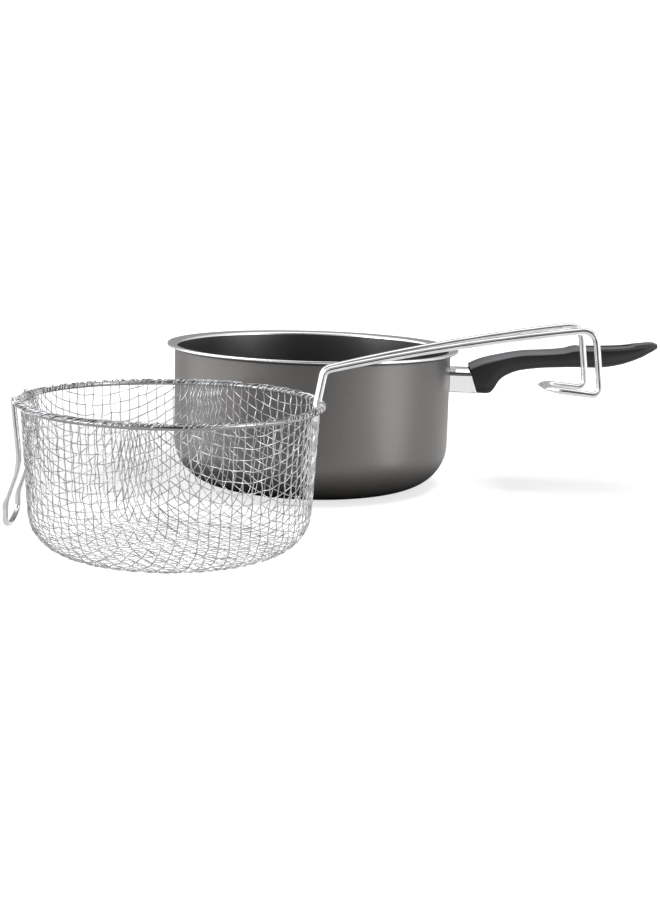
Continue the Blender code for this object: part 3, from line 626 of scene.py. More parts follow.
def make_pot_shell(pot, colours):
    """The pot's body with its coatings and its bare lip edge."""
    profile, zones = pot_profile(pot)
    points, *faces = turned(profile)
    slots = np.repeat(np.concatenate([zones[1:-1], [0, 2]]), POT_SIDES)
    bare = finish("bare_edge", colours.bare_edge, 1.0, 0.22, wear=(500, 2, 0.16, 0.30))
    coats = [outer_coating(colours), bare, inner_coating(colours)]
    piece = new_piece("pot_shell", points, faces, coats, slots)
    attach(piece, "pot")
    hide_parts("pot_body")


# Pot handle

def section_half(half, height, crown, squareness, cut, cut_round):
    """Half cross sections for arrays of widths: slot edge, crown, ridge and rounded underside.

    The crown is a parabola over the width and the underside a superellipse. The ridge
    between them is softened, more so towards the tip. The outline is resampled by its
    length between the places where it meets the cut, and the slot's upper edge is
    rounded with a quarter circle.
    """
    half, height, crown = (sizes[:, None] for sizes in (half, height, crown))
    ridge = 40  # the ridge's place in the outline
    side = half * np.linspace(0, 1, ridge, endpoint=False)
    turn = np.linspace(0, math.pi / 2, 90)
    power = 2 / squareness
    top = stack(side, height - crown * (side / half) ** 2)
    under = stack(
        half * np.clip(np.cos(turn), 0, 1) ** power,
        (height - crown) * (1 - np.sin(turn) ** power),
    )
    outline = np.concatenate([top, under], axis=1)
    least, most = 2, 18
    toward_tip = np.arange(len(outline)) / len(outline)
    softness = least + (most - least) * np.clip(toward_tip / 0.3 - 1.7, 0, 1)
    before, about, after = (slice(ridge - 15 + k, ridge + 25 + k) for k in (-1, 0, 1))
    for passes in range(most):
        soft = outline[softness > passes]
        soft[:, about] = (soft[:, before] + 2 * soft[:, about] + soft[:, after]) / 4
        outline[softness > passes] = soft
    run = np.linalg.norm(np.diff(outline, axis=1, prepend=outline[:, :1]), axis=-1).cumsum(axis=-1)
    bend = np.linspace(0, math.pi / 2, SLOT_STEPS, endpoint=False)
    below = slice(None, 79, -1)  # the underside's points, from the middle plane outward
    sections = []
    for line, reach, slot, rounding in zip(outline, run, cut, cut_round):
        start = np.interp(slot + rounding, line[:ridge, 0], reach[:ridge])
        end = reach[-1] - np.interp(slot, line[below, 0], reach[-1] - reach[below])
        marks = np.concatenate([
            np.linspace(start, reach[ridge], CROWN_STEPS, endpoint=False),
            np.linspace(reach[ridge], end, SIDE_STEPS),
        ])
        body = stack(*(np.interp(marks, reach, line[:, axis]) for axis in range(2)))
        edge = body[0] + rounding * stack(-np.cos(bend), np.sin(bend) - 1)
        sections.append(np.concatenate([edge, body]))
    return np.array(sections)


def keel_height(pot):
    """Height of the grip's keel line, from which crest and keel are measured."""
    return GRIP_TOP.z - pot.grip_rise * max(row[1] for row in GRIP_STATIONS)


def grip_sections(pot):
    """Keel places, rise directions and half sections at stations along the grip.

    Crest, keel and width follow a Catmull-Rom curve through the stations; the places
    along crowd at the round ends of the slot, whose half width follows a circle.
    """
    fine = spline(np.array(GRIP_STATIONS), 24)
    radius = pot.slot_width / 2
    slot_end = GRIP_LENGTH - pot.slot_setback
    slot_start = slot_end - pot.slot_length
    bends = radius * (1 - np.cos(np.linspace(0, math.pi / 2, 14)))
    along = np.concatenate([
        np.linspace(0, slot_start, 60, endpoint=False), slot_start + bends,
        np.linspace(slot_start + radius, slot_end - radius, 24)[1:-1], slot_end - bends[::-1],
        np.linspace(slot_end, GRIP_LENGTH - pot.tip_round, 16)[1:],
    ])
    rows = stack(*(np.interp(along / GRIP_LENGTH, fine[:, 0], fine[:, k]) for k in range(5)))
    inward = np.minimum(along - slot_start, slot_end - along)
    cut = np.sqrt(np.clip(radius ** 2 - np.clip(radius - inward, 0, radius) ** 2, 0, None))
    cut = np.where(inward > 0, cut, 0)
    crest, keel = (
        stack(rows[:, k] * GRIP_LENGTH, 0, rows[:, k + 1] * pot.grip_rise)
        + [GRIP_LOW.x, 0, keel_height(pot)] for k in (0, 2)
    )
    height = np.linalg.norm(crest - keel, axis=-1)
    rise = (crest - keel) / height[:, None]
    crown = pot.crown_root + (pot.crown_end - pot.crown_root) * rows[:, 2]
    crown = np.minimum(crown, height / 2)
    cut_round = np.minimum(pot.slot_round, 0.8 * cut)
    half = rows[:, 4] * pot.grip_width / 2
    return keel, rise, section_half(half, height, crown, pot.squareness, cut, cut_round), cut


def sections_in_place(keel, rise, sections, side_sign):
    """Places of the sections' points on one side of the handle's middle plane."""
    places = keel[:, None] + rise[:, None] * sections[..., 1:]
    places[..., 1] += side_sign * sections[..., 0]
    return places


def make_grip(pot, colours):
    """The moulded grip: two mirrored skins, the slot's wall, a flat nose and a rounded tip."""
    keel, rise, sections, cut = grip_sections(pot)
    slotted = np.nonzero(cut > 0)[0]
    slotted = np.arange(slotted[0] - 1, slotted[-1] + 2)
    depth = np.linspace(0, 1, 8)[None, :, None]
    wall = sections[slotted, None, 0] * (1 - depth) + sections[slotted, None, -1] * depth
    points, faces, slots, first = [], [], [], 0
    for side_sign in (1, -1):
        skin = sections_in_place(keel, rise, sections, side_sign)
        shrink = np.array([0.92, 0.74, 0.45, 0.0])[:, None, None]
        tip_middle = (keel[-1] + keel[-1] + rise[-1] * sections[-1, 0, 1]) / 2
        tip = tip_middle + (skin[-1] - tip_middle) * shrink
        tip[..., 0] += pot.tip_round * np.sqrt(1 - shrink[..., 0] ** 2)
        nose_middle = keel[0] + rise[0] * sections[0, 0, 1] / 2
        nose = nose_middle + (skin[0] - nose_middle) * np.array([0.96, 0.5, 0.0])[:, None, None]
        for grid in (
            skin, sections_in_place(keel[slotted], rise[slotted], wall, side_sign),
            np.concatenate([skin[-1:], tip]), np.concatenate([skin[:1], nose]),
        ):
            points.append(grid.reshape(-1, 3))
            faces.append(grid_quads(*grid.shape[:2], first=first))
            row, column = np.divmod(np.arange(len(faces[-1])), grid.shape[1] - 1)
            # faces of the crown, which get the grained finish with its painted sheen
            grained = np.where(row < SHEEN_AND_GRAIN_NARROWS * len(grid), *SHEEN_AND_GRAIN_COLUMNS)
            slots.append((grid is skin) & (column < grained))
            first += len(points[-1])
    coats = [
        black_moulding("black_moulding", colours.moulding, 0.32, 0.40),
        # the crown's lighter colour and full specular paint a sheen from above on it; its greater
        # roughness stands for a real grain
        black_moulding("crown_grain_and_sheen", colours.grained, 1.0, 0.46),
    ]
    points, faces, slots = (np.concatenate(group) for group in (points, faces, slots))
    piece = new_piece("grip_moulding", points, [faces], coats, slots, math.radians(48))
    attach(piece, "pot")
    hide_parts("handle_grip")


def guard_half(pot, half, height):
    """Half section of the guard, with five parts one after another.

    Low parabolic crown, crease with a groove under it, leaning side, quarter circle bend
    and flat foot.
    """
    side = half * np.linspace(0, 1, 12)
    top = stack(side, height - pot.guard_crown * (side / half) ** 2)
    drop = pot.guard_groove * np.array([0.7, 1.6, 2.6, 3.6, 4.4])
    depth = pot.guard_groove * np.array([0.25, 1.0, 0.7, 1.0, 0.1])
    groove = stack(half - depth, height - pot.guard_crown - drop)
    foot_width = half - pot.guard_taper
    bend = pot.guard_bend
    wall = np.linspace(groove[-1], [foot_width, bend], 10)[1:]
    turn = np.linspace(0, math.pi / 2, 8)[1:]
    corner = stack(foot_width - bend * (1 - np.cos(turn)), bend * (1 - np.sin(turn)))
    foot = stack(np.linspace(foot_width - bend, 0, 6)[1:], 0)
    return np.concatenate([top, groove, wall, corner, foot])


def make_guard(pot, colours):
    """Sheet sleeve: its section runs from the pot's round wall to the grip's slanted face.

    Both skins are rows of one closed loop. The outer one swells into a half round hem by
    the grip and into a small flare by the pot.
    """
    crest_along, crest_up, keel_along, keel_up, _ = GRIP_STATIONS[0]
    slant = (crest_along - keel_along) * GRIP_LENGTH / ((crest_up - keel_up) * pot.grip_rise)
    steps = np.concatenate([np.linspace(0, 0.9, 8, endpoint=False), np.linspace(0.9, 1, 7)])
    hem_middle, hem_half, flare_end = 0.95, 0.05, 0.12
    swell = np.sqrt(np.clip(1 - ((steps - hem_middle) / hem_half) ** 2, 0, 1)) * pot.guard_hem
    swell += np.clip(1 - steps / flare_end, 0, 1) ** 2 * pot.guard_hem
    rows = []
    for inset, grow in ((0, swell), (pot.guard_sheet, 0 * swell)):
        half = (GUARD_TOP.y - GUARD_LOW.y) / 2 - inset
        right = guard_half(pot, half, GUARD_TOP.z - GUARD_LOW.z - 2 * inset)
        loop = np.concatenate([right, (right * [-1, 1])[-2:0:-1]]) + [0, GUARD_LOW.z + inset]
        middle = loop.mean(axis=0)
        size = np.linalg.norm(loop - middle, axis=-1, keepdims=True)
        near = np.sqrt((pot.wall_radius + pot.seat_gap) ** 2 - loop[:, 0] ** 2)
        above_keel = loop[:, 1] - keel_height(pot)
        far = GRIP_LOW.x + keel_along * GRIP_LENGTH + above_keel * slant - pot.seat_gap
        along = near + (far - near) * steps[:, None]
        grown = loop + grow[:, None, None] * (loop - middle) / size
        rows.append(np.concatenate([along[..., None], grown], axis=-1))
    grid = np.concatenate([rows[0], rows[1][::-1]])
    faces = grid_quads(*grid.shape[:2], wrap_rows=True, wrap_columns=True)
    row, column = np.divmod(np.arange(len(faces)), grid.shape[1])
    from_middle = np.minimum(column, grid.shape[1] - 1 - column)
    # painted shade: the outer skin's faces in the groove under the creases get the dark metal,
    # standing in for the shade there
    groove_starts, groove_ends = 11, 16
    seam = (from_middle >= groove_starts) & (from_middle < groove_ends) & (row < len(steps) - 1)
    coats = [bright_plating(colours), plain_metal("guard_groove_shade", colours.seam, 0.30)]
    piece = new_piece("guard_sleeve", grid.reshape(-1, 3), [faces], coats, seam, math.radians(40))
    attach(piece, "pot")
    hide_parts("flame_guard")


def dress_fastenings(colours):
    """Finishes of the bracket and the screw, which keep their own solids."""
    steel = plain_metal("bracket_steel", colours.steel, 0.35)
    zinc = plain_metal("screw_zinc", colours.zinc, 0.28)
    for name, material in (("handle_bracket", steel), ("grip_screw", zinc)):
        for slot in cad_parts[name].material_slots:
            slot.material = material


# Basket cloth

class Cup:
    """The cloth's middle surface: a flat floor, a rounded corner and a wall that leans outward."""

    def __init__(self, basket):
        self.corner = basket.corner_radius
        self.lean = basket.lean
        self.rim_height = RING_MIDDLE.z - basket.rim_drop
        self.centre = basket.cloth_wire * 1.1 + self.corner
        rise = self.rim_height - self.centre + self.corner * math.sin(self.lean)
        self.wall = rise / math.cos(self.lean)
        self.floor = RING_RADIUS - basket.rim_inset - self.corner * math.cos(self.lean)
        self.floor -= self.wall * math.sin(self.lean)
        self.steepest = math.pi / 2 - self.lean
        self.rim_arc = self.floor + self.corner * self.steepest + self.wall

    def meridian(self, arc_length):
        """Radius, height and slope at lengths along the cup from its pole."""
        slope = np.clip((arc_length - self.floor) / self.corner, 0, self.steepest)
        beyond = np.maximum(arc_length - self.floor - self.corner * self.steepest, 0)
        radius = np.minimum(arc_length, self.floor) + self.corner * np.sin(slope)
        radius = radius + beyond * math.sin(self.lean)
        height = self.centre - self.corner * np.cos(slope) + beyond * math.cos(self.lean)
        return radius, height, slope

    def place(self, arc_length, turn):
        """Place for a length along the meridian and a turn about the axis."""
        radius, height, _ = self.meridian(arc_length)
        return polar(radius, turn, height)

    def arc_of(self, places):
        """Length along the meridian of the nearest place on the cup."""
        out = np.hypot(places[..., 0], places[..., 1])
        bend = np.arctan2(out - self.floor, self.centre - places[..., 2])
        from_edge_out = out - (self.floor + self.corner * math.sin(self.steepest))
        from_edge_up = places[..., 2] - (self.centre - self.corner * math.cos(self.steepest))
        climb = from_edge_out * math.sin(self.lean) + from_edge_up * math.cos(self.lean)
        wall = self.floor + self.corner * self.steepest + climb
        upright = np.where(bend < self.steepest, self.floor + self.corner * bend, wall)
        return np.where(out < self.floor, out, upright)

    def settled(self, places):
        """Places moved to the nearest ones on the cup."""
        return self.place(self.arc_of(places), np.arctan2(places[..., 1], places[..., 0]))

    def outward(self, places):
        """Unit normals that point out of the cup."""
        slope = self.meridian(self.arc_of(places))[2]
        turn = np.arctan2(places[..., 1], places[..., 0])
        return polar(np.sin(slope), turn, -np.cos(slope))


def next_crossings(cup, left, right, arc_length, turn, pitch):
    """Crossings one pitch from both neighbours, found on the cup by Newton's rule."""
    for _ in range(14):
        radius, _, slope = cup.meridian(arc_length)
        place = cup.place(arc_length, turn)
        up = polar(np.cos(slope), turn, np.sin(slope))
        sideways = stack(-np.sin(turn), np.cos(turn), 0)
        rows = []
        for other in (left, right):
            away = place - other
            size = np.linalg.norm(away, axis=-1)
            away = away / size[:, None]
            rows.append(((away * up).sum(-1), (away * sideways).sum(-1), size - pitch))
        (a, b, miss_a), (c, d, miss_b) = rows
        scale = a * d - b * c
        arc_length = arc_length - (d * miss_a - b * miss_b) / scale
        turn = turn - (a * miss_b - c * miss_a) / scale / radius
    return arc_length, turn


def drape(cup, pitch):
    """Crossings of a square weave laid on the cup like a net.

    Two wires run along meridians; each further crossing lies one pitch from its two
    neighbours. One quarter is solved diagonal by diagonal and turned four times.
    """
    count = math.ceil(cup.rim_arc / pitch) + 3
    arcs = np.full((count, count), np.inf)
    turns = np.zeros((count, count))
    arcs[:, 0] = arcs[0, :] = np.arange(count) * pitch
    turns[0, 1:] = math.pi / 2
    for diagonal in range(2, 2 * count - 1):
        along = np.arange(max(1, diagonal - count + 1), min(diagonal, count))
        across = diagonal - along
        near, far = np.sort([arcs[along - 1, across], arcs[along, across - 1]], axis=0)
        keep = (near < cup.rim_arc + pitch) & np.isfinite(far)
        along, across = along[keep], across[keep]
        if not len(along):
            continue
        left, right, behind = (
            cup.place(arcs[at], turns[at])
            for at in ((along - 1, across), (along, across - 1), (along - 1, across - 1))
        )
        guess = left + right - behind
        start = (arcs[along - 1, across] + arcs[along, across - 1]) / 2 + pitch / 2
        turn = np.arctan2(guess[:, 1], guess[:, 0])
        found = next_crossings(cup, left, right, start, turn, pitch)
        arcs[along, across], turns[along, across] = found
    places = np.full((2 * count - 1, 2 * count - 1, 3), np.nan)
    known = np.isfinite(arcs)
    along, across = np.nonzero(known)
    for quarter in range(4):
        turn = turns[known] + quarter * math.pi / 2
        places[count - 1 + along, count - 1 + across] = cup.place(arcs[known], turn)
        along, across = -across, along
    return places


def settle(cup, places, pitch, lock_angle):
    """Ease the drape on the cup: wires keep their pitch, and squeezed meshes a least width."""
    narrow = 2 * pitch * math.sin(lock_angle / 2)
    wide = 2 * pitch * math.cos(lock_angle / 2)
    links = (
        ((1, 0), pitch, pitch), ((0, 1), pitch, pitch),
        ((1, 1), narrow, wide), ((-1, 1), narrow, wide),
    )
    size = len(places)
    for _ in range(EASING_ROUNDS):
        push = np.zeros_like(places)
        count = np.full(places.shape[:2], 0.5)
        for (along, across), least, most in links:
            first = (slice(max(-along, 0), size - max(along, 0)), slice(0, size - across))
            second = (slice(max(along, 0), size + min(along, 0)), slice(across, size))
            away = places[second] - places[first]
            reach = np.linalg.norm(away, axis=-1)
            move = away * ((np.clip(reach, least, most) / reach - 1) / 2)[..., None]
            linked = np.isfinite(reach)
            move = np.where(linked[..., None], move, 0)
            push[first] -= move
            push[second] += move
            count[first] += linked
            count[second] += linked
        places = cup.settled(places + push / count[..., None])
    return places


def curl(turn, basket, random):
    """End of a woven wire: from inside the ring up over its top, running along it as it goes.

    The minor angle falls from the ring's inner side past its top while the place round
    the ring moves on by a power of the same share. Some ends stand off the ring in a
    half sine wave. The second array points from the path to the ring's middle.
    """
    u = np.linspace(0, 1, 15)
    start = math.radians(205)
    minor = start - basket.curl_wrap * random.uniform(0.80, 1.15) * u
    loose = basket.curl_lift * random.uniform(0, 1) ** 2
    reach = (RING_WIRE + basket.cloth_wire) / 2 * 1.04 + loose * np.sin(math.pi * u)
    radius = RING_RADIUS + reach * np.cos(minor)
    turn = turn - random.uniform(0.4, 1.4) * basket.curl_run / RING_RADIUS * u ** 1.4
    path = polar(radius, turn, RING_MIDDLE.z + reach * np.sin(minor))
    return path, polar(-np.cos(minor), turn, -np.sin(minor))


def woven_wire(cup, crossings, parity, basket, random):
    """One wire: a smooth curve through its crossings, waved over and under, with both ends curled.

    Beside each end a stray end, without a wire of its own, is wound round the ring too.
    """
    path = spline(crossings, CLOTH_SAMPLES)
    crimp = basket.cloth_wire / 2 * 1.05
    wave = crimp * parity * np.cos(math.pi * np.arange(len(path)) / CLOTH_SAMPLES)
    normal = cup.outward(path)
    path = path + normal * wave[:, None]
    below = np.nonzero(path[:, 2] < cup.rim_height)[0]
    if len(below) < CLOTH_SAMPLES:
        return []
    path, normal = (places[below[0]:below[-1] + 1] for places in (path, normal))
    hem = []
    for _ in range(2):
        turn = math.atan2(path[-1, 1], path[-1, 0])
        end, inward = curl(turn, basket, random)
        path = np.concatenate([path, end])[::-1]
        normal = np.concatenate([normal, inward])[::-1]
        turn += random.uniform(-1, 1) * basket.pitch / 2 / RING_RADIUS
        stray, inward = curl(turn, basket, random)
        hem.append(tube(stray, basket.cloth_wire / 2, CLOTH_SIDES, inward))
    return [tube(path, basket.cloth_wire / 2, CLOTH_SIDES, normal), *hem]


def make_cloth(basket, colours, seed):
    """Warp and weft of the woven net, each one piece."""
    cup = Cup(basket)
    random = np.random.default_rng(seed)
    places = settle(cup, drape(cup, basket.pitch), basket.pitch, basket.lock_angle)
    places = cup.settled(places + random.normal(0, basket.unevenness, places.shape))
    tin = tinned_wire("tinned_cloth", colours.cloth_tin, 0.30, 0.13, 0.12)
    for name, rows, sign in (("net_warp", places, 1), ("net_weft", places.swapaxes(0, 1), -1)):
        wires = []
        for index, row in enumerate(rows):
            known = np.nonzero(np.isfinite(row[:, 0]))[0]
            if len(known) > 2:
                parity = sign * (-1) ** (index + known[0])
                wires.extend(woven_wire(cup, row[known], parity, basket, random))
        points, quads, caps = joined(wires)
        piece = new_piece(name, on_basket(points, basket.cloth_turn), [quads, caps], [tin])
        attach(piece, "basket")
        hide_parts("basket_net")


# Basket wires

def beads(places, radii):
    """Weld beads: ellipsoids of latitude rings with a small flat at each pole."""
    latitude = np.linspace(-1.4, 1.4, 9)[:, None]
    turn = np.linspace(0, math.tau, WIRE_SIDES, endpoint=False)
    ball = polar(np.cos(latitude), turn, np.sin(latitude))
    return [ring_skin(place + ball * radii) for place in places]


def wire_piece(name, parts, node, colours, tin, worked=None):
    """A bright wire piece that stands for its node, rougher where its worked test is true."""
    points, quads, caps = joined(parts)
    materials = [tinned_wire("tinned_" + name, tin, 0.08, 0.10, 0.02)]
    slots = None
    if worked is not None:
        materials.append(worked_wire("worked_" + name, colours.worked_tin))
        middles = points[quads].mean(axis=1)
        slots = np.concatenate([worked(middles), np.zeros(len(caps), bool)])
    piece = new_piece(name, points, [quads, caps], materials, slots)
    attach(piece, "basket")
    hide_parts(node)


def make_rim(colours):
    """Rim ring, a closed hoop of round wire."""
    turn = np.linspace(0, math.tau, 320, endpoint=False)
    circle = on_basket(polar(RING_RADIUS, turn, RING_MIDDLE.z), 0)
    hoop = tube(circle, RING_WIRE / 2, WIRE_SIDES, (0, 0, 1), closed=True)
    wire_piece("rim_hoop", [hoop], "rim_ring", colours, colours.rim_tin)


def riser_foot(basket):
    """Reach and height of the riser's lower end, resting against the ring's inner side."""
    bend_reach = RING_RADIUS + basket.bend_offset
    ring_reach = math.sqrt(RING_RADIUS ** 2 - basket.root_spread ** 2)
    clear = (RING_WIRE + basket.arm_wire) / 2 + basket.cloth_wire / 3
    lean = math.atan((bend_reach - ring_reach + clear) / basket.bend_rise)
    touch = ring_reach - clear / math.cos(lean)
    drop = RING_WIRE / 2 - basket.arm_wire / 2 * math.sin(lean)
    foot = touch - (bend_reach - touch) * drop / basket.bend_rise + basket.foot_shift
    return foot, RING_MIDDLE.z - drop


def make_basket_arms(basket, colours):
    """The handle: one wire up from the ring, out along one arm, down, back, across and home again.

    The arm bows up in a parabola between its bends, and its distance from the middle
    plane grows evenly with its reach. A press has widened and flattened the crosspiece.
    """
    bend = (RING_RADIUS + basket.bend_offset, RING_MIDDLE.z + basket.bend_rise)
    end = (bend[0] + basket.arm_length, bend[1] + basket.arm_climb)
    low = (end[0] + basket.end_lean, end[1] - basket.end_drop)
    back = (low[0] - basket.end_return, low[1] + basket.return_rise)
    u = np.linspace(0, 1, 9)[1:-1]
    bowed = stack(
        bend[0] + (end[0] - bend[0]) * u,
        bend[1] + (end[1] - bend[1]) * u + basket.arm_bow * 4 * u * (1 - u),
    )
    slope = (basket.end_spread - basket.root_spread) / (low[0] - RING_RADIUS)
    side = np.array([
        (reach, basket.root_spread + slope * (reach - RING_RADIUS), height)
        for reach, height in (riser_foot(basket), bend, *bowed, end, low, back)
    ])
    ends = [basket.end_top_radius, basket.end_low_radius, basket.end_low_radius]
    radii = [basket.bend_radius] + [end[0]] * len(bowed) + ends
    corners = np.concatenate([side, side[::-1] * MIRROR])
    route = rounded_route(corners, radii + radii[::-1], basket.arm_wire / 3)
    points, quads, caps = tube(route, basket.arm_wire / 2, WIRE_SIDES, (0.6, 0.55, 0.58))
    pressed = (route[:, 0] > (bend[0] + end[0]) / 2)
    pressed &= (route[:, ::2] < np.add(back, basket.end_low_radius)).all(axis=1)
    fade = np.clip((side[-1, 1] - np.abs(points[:, 1])) / PRESS_FADE, 0, 1)
    pressed = np.repeat(pressed, WIRE_SIDES) * fade
    points[:, 0] += pressed * ((points[:, 0] - back[0]) * basket.press_spread - basket.press_shift)
    points[:, 2] -= pressed * (points[:, 2] - back[1]) * basket.press_spread / 4
    arms = on_basket(points, basket.arm_azimuth), quads, caps
    welds = on_basket((side[0] + [0.0004, 0, 0.0004]) * [[1, 1, 1], MIRROR], basket.arm_azimuth)
    cross = on_basket(np.array([back[0], 0, back[1]]), basket.arm_azimuth)
    reach = side[-1, 1] - basket.end_low_radius * 0.4

    def worked(places):
        """Faces of the crosspiece and of the weld beads."""
        on_cross = np.linalg.norm(places - cross, axis=-1) < reach
        return on_cross | (places[:, 2] < RING_TOP.z + basket.arm_wire * 0.12)

    radii = basket.arm_wire * np.array([0.44, 0.52, 0.34])
    parts = [arms, *beads(welds, radii)]
    wire_piece("basket_arms", parts, "basket_handle", colours, colours.tin, worked)


def make_drain_hook(basket, colours):
    """Drain hook: two legs down the cloth's outside that flare out into a round foot.

    Each leg is straight runs and arcs, and the foot half an ellipse that bulges outward.
    """
    cup = Cup(basket)
    spread = basket.hook_spread
    top_radius = RING_RADIUS + (RING_WIRE + basket.hook_wire) / 2
    top = math.sqrt(top_radius ** 2 - spread ** 2)
    waist_height = RING_MIDDLE.z - basket.waist_drop
    inward = (cup.rim_height - waist_height) * math.tan(basket.lean)
    net_radius = RING_RADIUS - basket.rim_inset - inward
    waist_radius = net_radius + basket.cloth_wire + basket.hook_gap + basket.hook_wire / 2
    waist = math.sqrt(waist_radius ** 2 - spread ** 2)
    flare = waist + basket.flare_reach
    flare_height = waist_height - basket.flare_drop
    leg = rounded_route([
        (top, spread, RING_MIDDLE.z + basket.hook_top_rise),
        (waist, spread, waist_height),
        (flare, spread, flare_height),
        (flare, spread, flare_height - basket.hang_drop),
    ], [basket.waist_bend, basket.flare_bend], basket.hook_wire / 3)
    turn = np.linspace(0, math.pi, 40)[1:-1]
    foot = stack(
        flare + basket.foot_reach * np.sin(turn), spread * np.cos(turn),
        flare_height - basket.hang_drop - basket.foot_drop * np.sin(turn),
    )
    route = on_basket(np.concatenate([leg, foot, (leg * MIRROR)[::-1]]), basket.hook_azimuth)
    weld = np.array([top - basket.hook_wire * 0.35, spread, RING_MIDDLE.z])
    welds = on_basket(weld * [[1, 1, 1], MIRROR], basket.hook_azimuth)
    radii = basket.hook_wire * np.array([0.50, 0.62, 0.55])

    def worked(places):
        """Faces of the weld beads."""
        return np.linalg.norm((places[:, None] - welds) / radii, axis=-1).min(axis=1) < 1.05

    parts = [tube(route, basket.hook_wire / 2, WIRE_SIDES, (1, 0, 0)), *beads(welds, radii)]
    wire_piece("drain_hook_loop", parts, "drain_hook", colours, colours.hook_tin, worked)


# Studio

def room_light(tree, source, is_place):
    """Brightness of the room along a direction, or at a place of its floor."""
    light = None
    for centre, seen_from, tallness, core, edge, factor in ROOM_PATCHES:
        squeeze = (1, 1, 1 / tallness)
        direction = vector_node(tree, "SUBTRACT", source, seen_from) if is_place else source
        squeezed = vector_node(tree, "NORMALIZE", vector_node(tree, "MULTIPLY", direction, squeeze))
        middle = Vector([c * k for c, k in zip(centre, squeeze)]).normalized()
        near = vector_node(tree, "DOT_PRODUCT", squeezed, middle)
        outer, inner = (math.cos(math.radians(half_angle)) for half_angle in (edge, core))
        patch = eased(tree, near, outer, inner, 1, factor)
        light = math_node(tree, "MULTIPLY", light, patch) if light else patch
    return light


def make_floor(studio):
    """Plain pale floor; the pieces see the room's light on it, fading out beneath the pot."""
    corners = np.array([(-1, -1), (1, -1), (1, 1), (-1, 1)]) * studio.floor_size / 2
    points = stack(*corners.T, -0.0004)
    material = finish("pale_floor", (studio.floor_shade,) * 3, 0, 0.9, 0.0)
    tree, shader = material.node_tree, shader_of(material)
    place = object_place(tree)
    away = vector_node(tree, "LENGTH", place)
    glow = eased(tree, away, studio.glow_start, studio.glow_full, 0, studio.floor_glow)
    lift = eased(tree, away, studio.lift_start, studio.lift_full, studio.floor_lift, 1.0)
    # painted light: the floor glows brighter close round pot and basket, hiding their contact
    # shadows
    for middle, start, end in FLOOR_POOLS:
        near = vector_node(tree, "LENGTH", vector_node(tree, "SUBTRACT", place, middle))
        pool = eased(tree, near, start, end, studio.floor_lift + studio.pool_lift, 0)
        lift = math_node(tree, "MAXIMUM", lift, pool)
    connect(tree, shader, {"Emission Color": (1, 1, 1, 1), "Emission Strength": lift})
    glow = math_node(tree, "MULTIPLY", glow, room_light(tree, place, True))
    bounce = add_node(tree, "Emission", {"Strength": glow}).outputs[0]
    seen = add_node(tree, "LightPath").outputs["Is Camera Ray"]
    mix = add_node(tree, "MixShader", {0: seen, 1: bounce, 2: shader.outputs[0]})
    connect(tree, tree.nodes["Material Output"], {"Surface": mix.outputs["Shader"]})
    new_piece("floor", points, [np.array([[0, 1, 2, 3]])], [material])


def make_sky(studio):
    """Surroundings that light the pieces like the room, while the camera sees plain white."""
    world = bpy.data.worlds.new("studio_sky")
    world.use_nodes = True
    bpy.context.scene.world = world
    tree = world.node_tree
    room = room_light(tree, add_node(tree, "TexCoord").outputs["Generated"], False)
    seen = add_node(tree, "LightPath").outputs["Is Camera Ray"]
    light = math_node(tree, "MAXIMUM", room, seen)
    strength = math_node(tree, "MULTIPLY", light, studio.sky_strength)
    connect(tree, tree.nodes["Background"], {"Strength": strength, "Color": (1, 1, 1, 1)})


def make_top_light(studio):
    """Soft rectangular light above the object, which isn't mirrored in the metal."""
    place, target = Vector((0.42, -0.05, 1.6)), Vector((0.1, 0, 0))
    light = bpy.data.lights.new("top_light", "AREA")
    light.shape = "RECTANGLE"
    light.size, light.size_y = 0.8, 0.7
    light.energy = studio.top_power
    item = add_object("top_light", light)
    item.location = place
    item.rotation_euler = (target - place).to_track_quat("-Z", "Y").to_euler()
    item.visible_glossy = False


def make_camera(studio):
    """Camera at the photograph's place and angle."""
    data = bpy.data.cameras.new("camera")
    data.lens = studio.lens
    data.sensor_width = 36
    data.clip_start = 0.05
    camera = add_object("camera", data)
    tilt = Matrix.Rotation(math.pi / 2 - studio.camera_pitch, 4, "X")
    roll = Matrix.Rotation(studio.camera_roll, 4, "Z")
    camera.matrix_world = Matrix.Translation(studio.camera_place) @ tilt @ roll
    bpy.context.scene.camera = camera


# Add-on

class FRYPOT_OT_studio(bpy.types.Operator):
    """Lay the floor and set the light and the camera"""
    bl_idname = "frypot.studio"
    bl_label = "Studio"

    def execute(self, context):
        for make in (make_floor, make_sky, make_top_light, make_camera):
            make(context.scene.frypot_studio)
        context.scene.view_settings.view_transform = "Standard"
        return {"FINISHED"}


class FRYPOT_OT_pot_shell(bpy.types.Operator):
    """Turn the pot's body with its lip and coatings"""
    bl_idname = "frypot.pot_shell"
    bl_label = "Pot Shell"

    def execute(self, context):
        make_pot_shell(context.scene.frypot_pot, context.scene.frypot_finish)
        return {"FINISHED"}


class FRYPOT_OT_guard(bpy.types.Operator):
    """Form the flame guard between pot and grip"""
    bl_idname = "frypot.guard"
    bl_label = "Flame Guard"

    def execute(self, context):
        make_guard(context.scene.frypot_pot, context.scene.frypot_finish)
        return {"FINISHED"}


class FRYPOT_OT_grip(bpy.types.Operator):
    """Mould the grip with its hanging slot"""
    bl_idname = "frypot.grip"
    bl_label = "Grip"

    def execute(self, context):
        make_grip(context.scene.frypot_pot, context.scene.frypot_finish)
        return {"FINISHED"}


class FRYPOT_OT_fastenings(bpy.types.Operator):
    """Finish the bracket and the screw"""
    bl_idname = "frypot.fastenings"
    bl_label = "Fastenings"

    def execute(self, context):
        dress_fastenings(context.scene.frypot_finish)
        return {"FINISHED"}


class FRYPOT_OT_cloth(bpy.types.Operator):
    """Weave the basket's net"""
    bl_idname = "frypot.cloth"
    bl_label = "Woven Net"

    def execute(self, context):
        scene = context.scene
        make_cloth(scene.frypot_basket, scene.frypot_finish, scene.frypot_studio.seed)
        return {"FINISHED"}


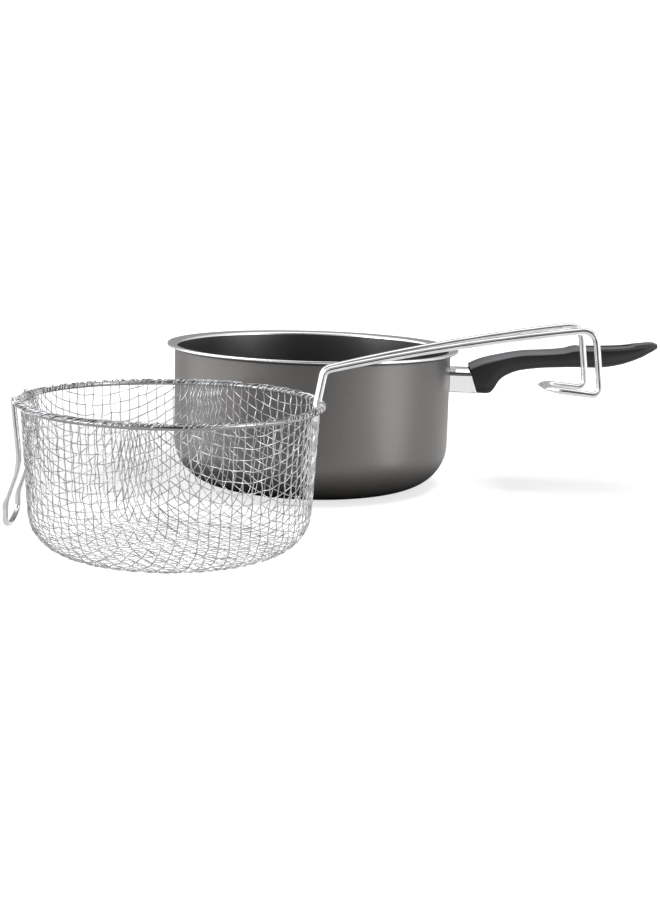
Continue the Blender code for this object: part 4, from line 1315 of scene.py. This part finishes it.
class FRYPOT_OT_rim(bpy.types.Operator):
    """Bend the basket's rim ring"""
    bl_idname = "frypot.rim"
    bl_label = "Rim Ring"

    def execute(self, context):
        make_rim(context.scene.frypot_finish)
        return {"FINISHED"}


class FRYPOT_OT_arms(bpy.types.Operator):
    """Bend the basket's handle"""
    bl_idname = "frypot.arms"
    bl_label = "Basket Handle"

    def execute(self, context):
        make_basket_arms(context.scene.frypot_basket, context.scene.frypot_finish)
        return {"FINISHED"}


class FRYPOT_OT_drain_hook(bpy.types.Operator):
    """Bend the basket's drain hook"""
    bl_idname = "frypot.drain_hook"
    bl_label = "Drain Hook"

    def execute(self, context):
        make_drain_hook(context.scene.frypot_basket, context.scene.frypot_finish)
        return {"FINISHED"}


SETTINGS = (
    ("frypot_pot", PotSettings), ("frypot_basket", BasketSettings),
    ("frypot_finish", FinishSettings), ("frypot_studio", StudioSettings),
)
STEPS = (
    FRYPOT_OT_studio, FRYPOT_OT_pot_shell, FRYPOT_OT_guard, FRYPOT_OT_grip, FRYPOT_OT_fastenings,
    FRYPOT_OT_cloth, FRYPOT_OT_rim, FRYPOT_OT_arms, FRYPOT_OT_drain_hook,
)


class FRYPOT_PT_panel(bpy.types.Panel):
    """Steps and settings of the fry pot"""
    bl_label = "Fry Pot"
    bl_idname = "FRYPOT_PT_panel"
    bl_space_type = "VIEW_3D"
    bl_region_type = "UI"
    bl_category = "Fry Pot"

    def draw(self, context):
        """List the steps, then every setting."""
        for step in STEPS:
            self.layout.operator(step.bl_idname)
        for name, group in SETTINGS:
            box = self.layout.box()
            for key in group.__annotations__:
                box.prop(getattr(context.scene, name), key)


CLASSES = tuple(group for _, group in SETTINGS) + STEPS + (FRYPOT_PT_panel,)


def register():
    """Register the classes and hang the settings on the scene."""
    for item in CLASSES:
        bpy.utils.register_class(item)
    for name, group in SETTINGS:
        setattr(bpy.types.Scene, name, PointerProperty(type=group))


def unregister():
    """Take the settings and the classes away again."""
    for name, _ in SETTINGS:
        delattr(bpy.types.Scene, name)
    for item in reversed(CLASSES):
        bpy.utils.unregister_class(item)


def main():
    """Build every step in order."""
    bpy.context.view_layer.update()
    register()
    for step in STEPS:
        group, name = step.bl_idname.split(".")
        getattr(getattr(bpy.ops, group), name)()


if __name__ == "__main__":
    main()
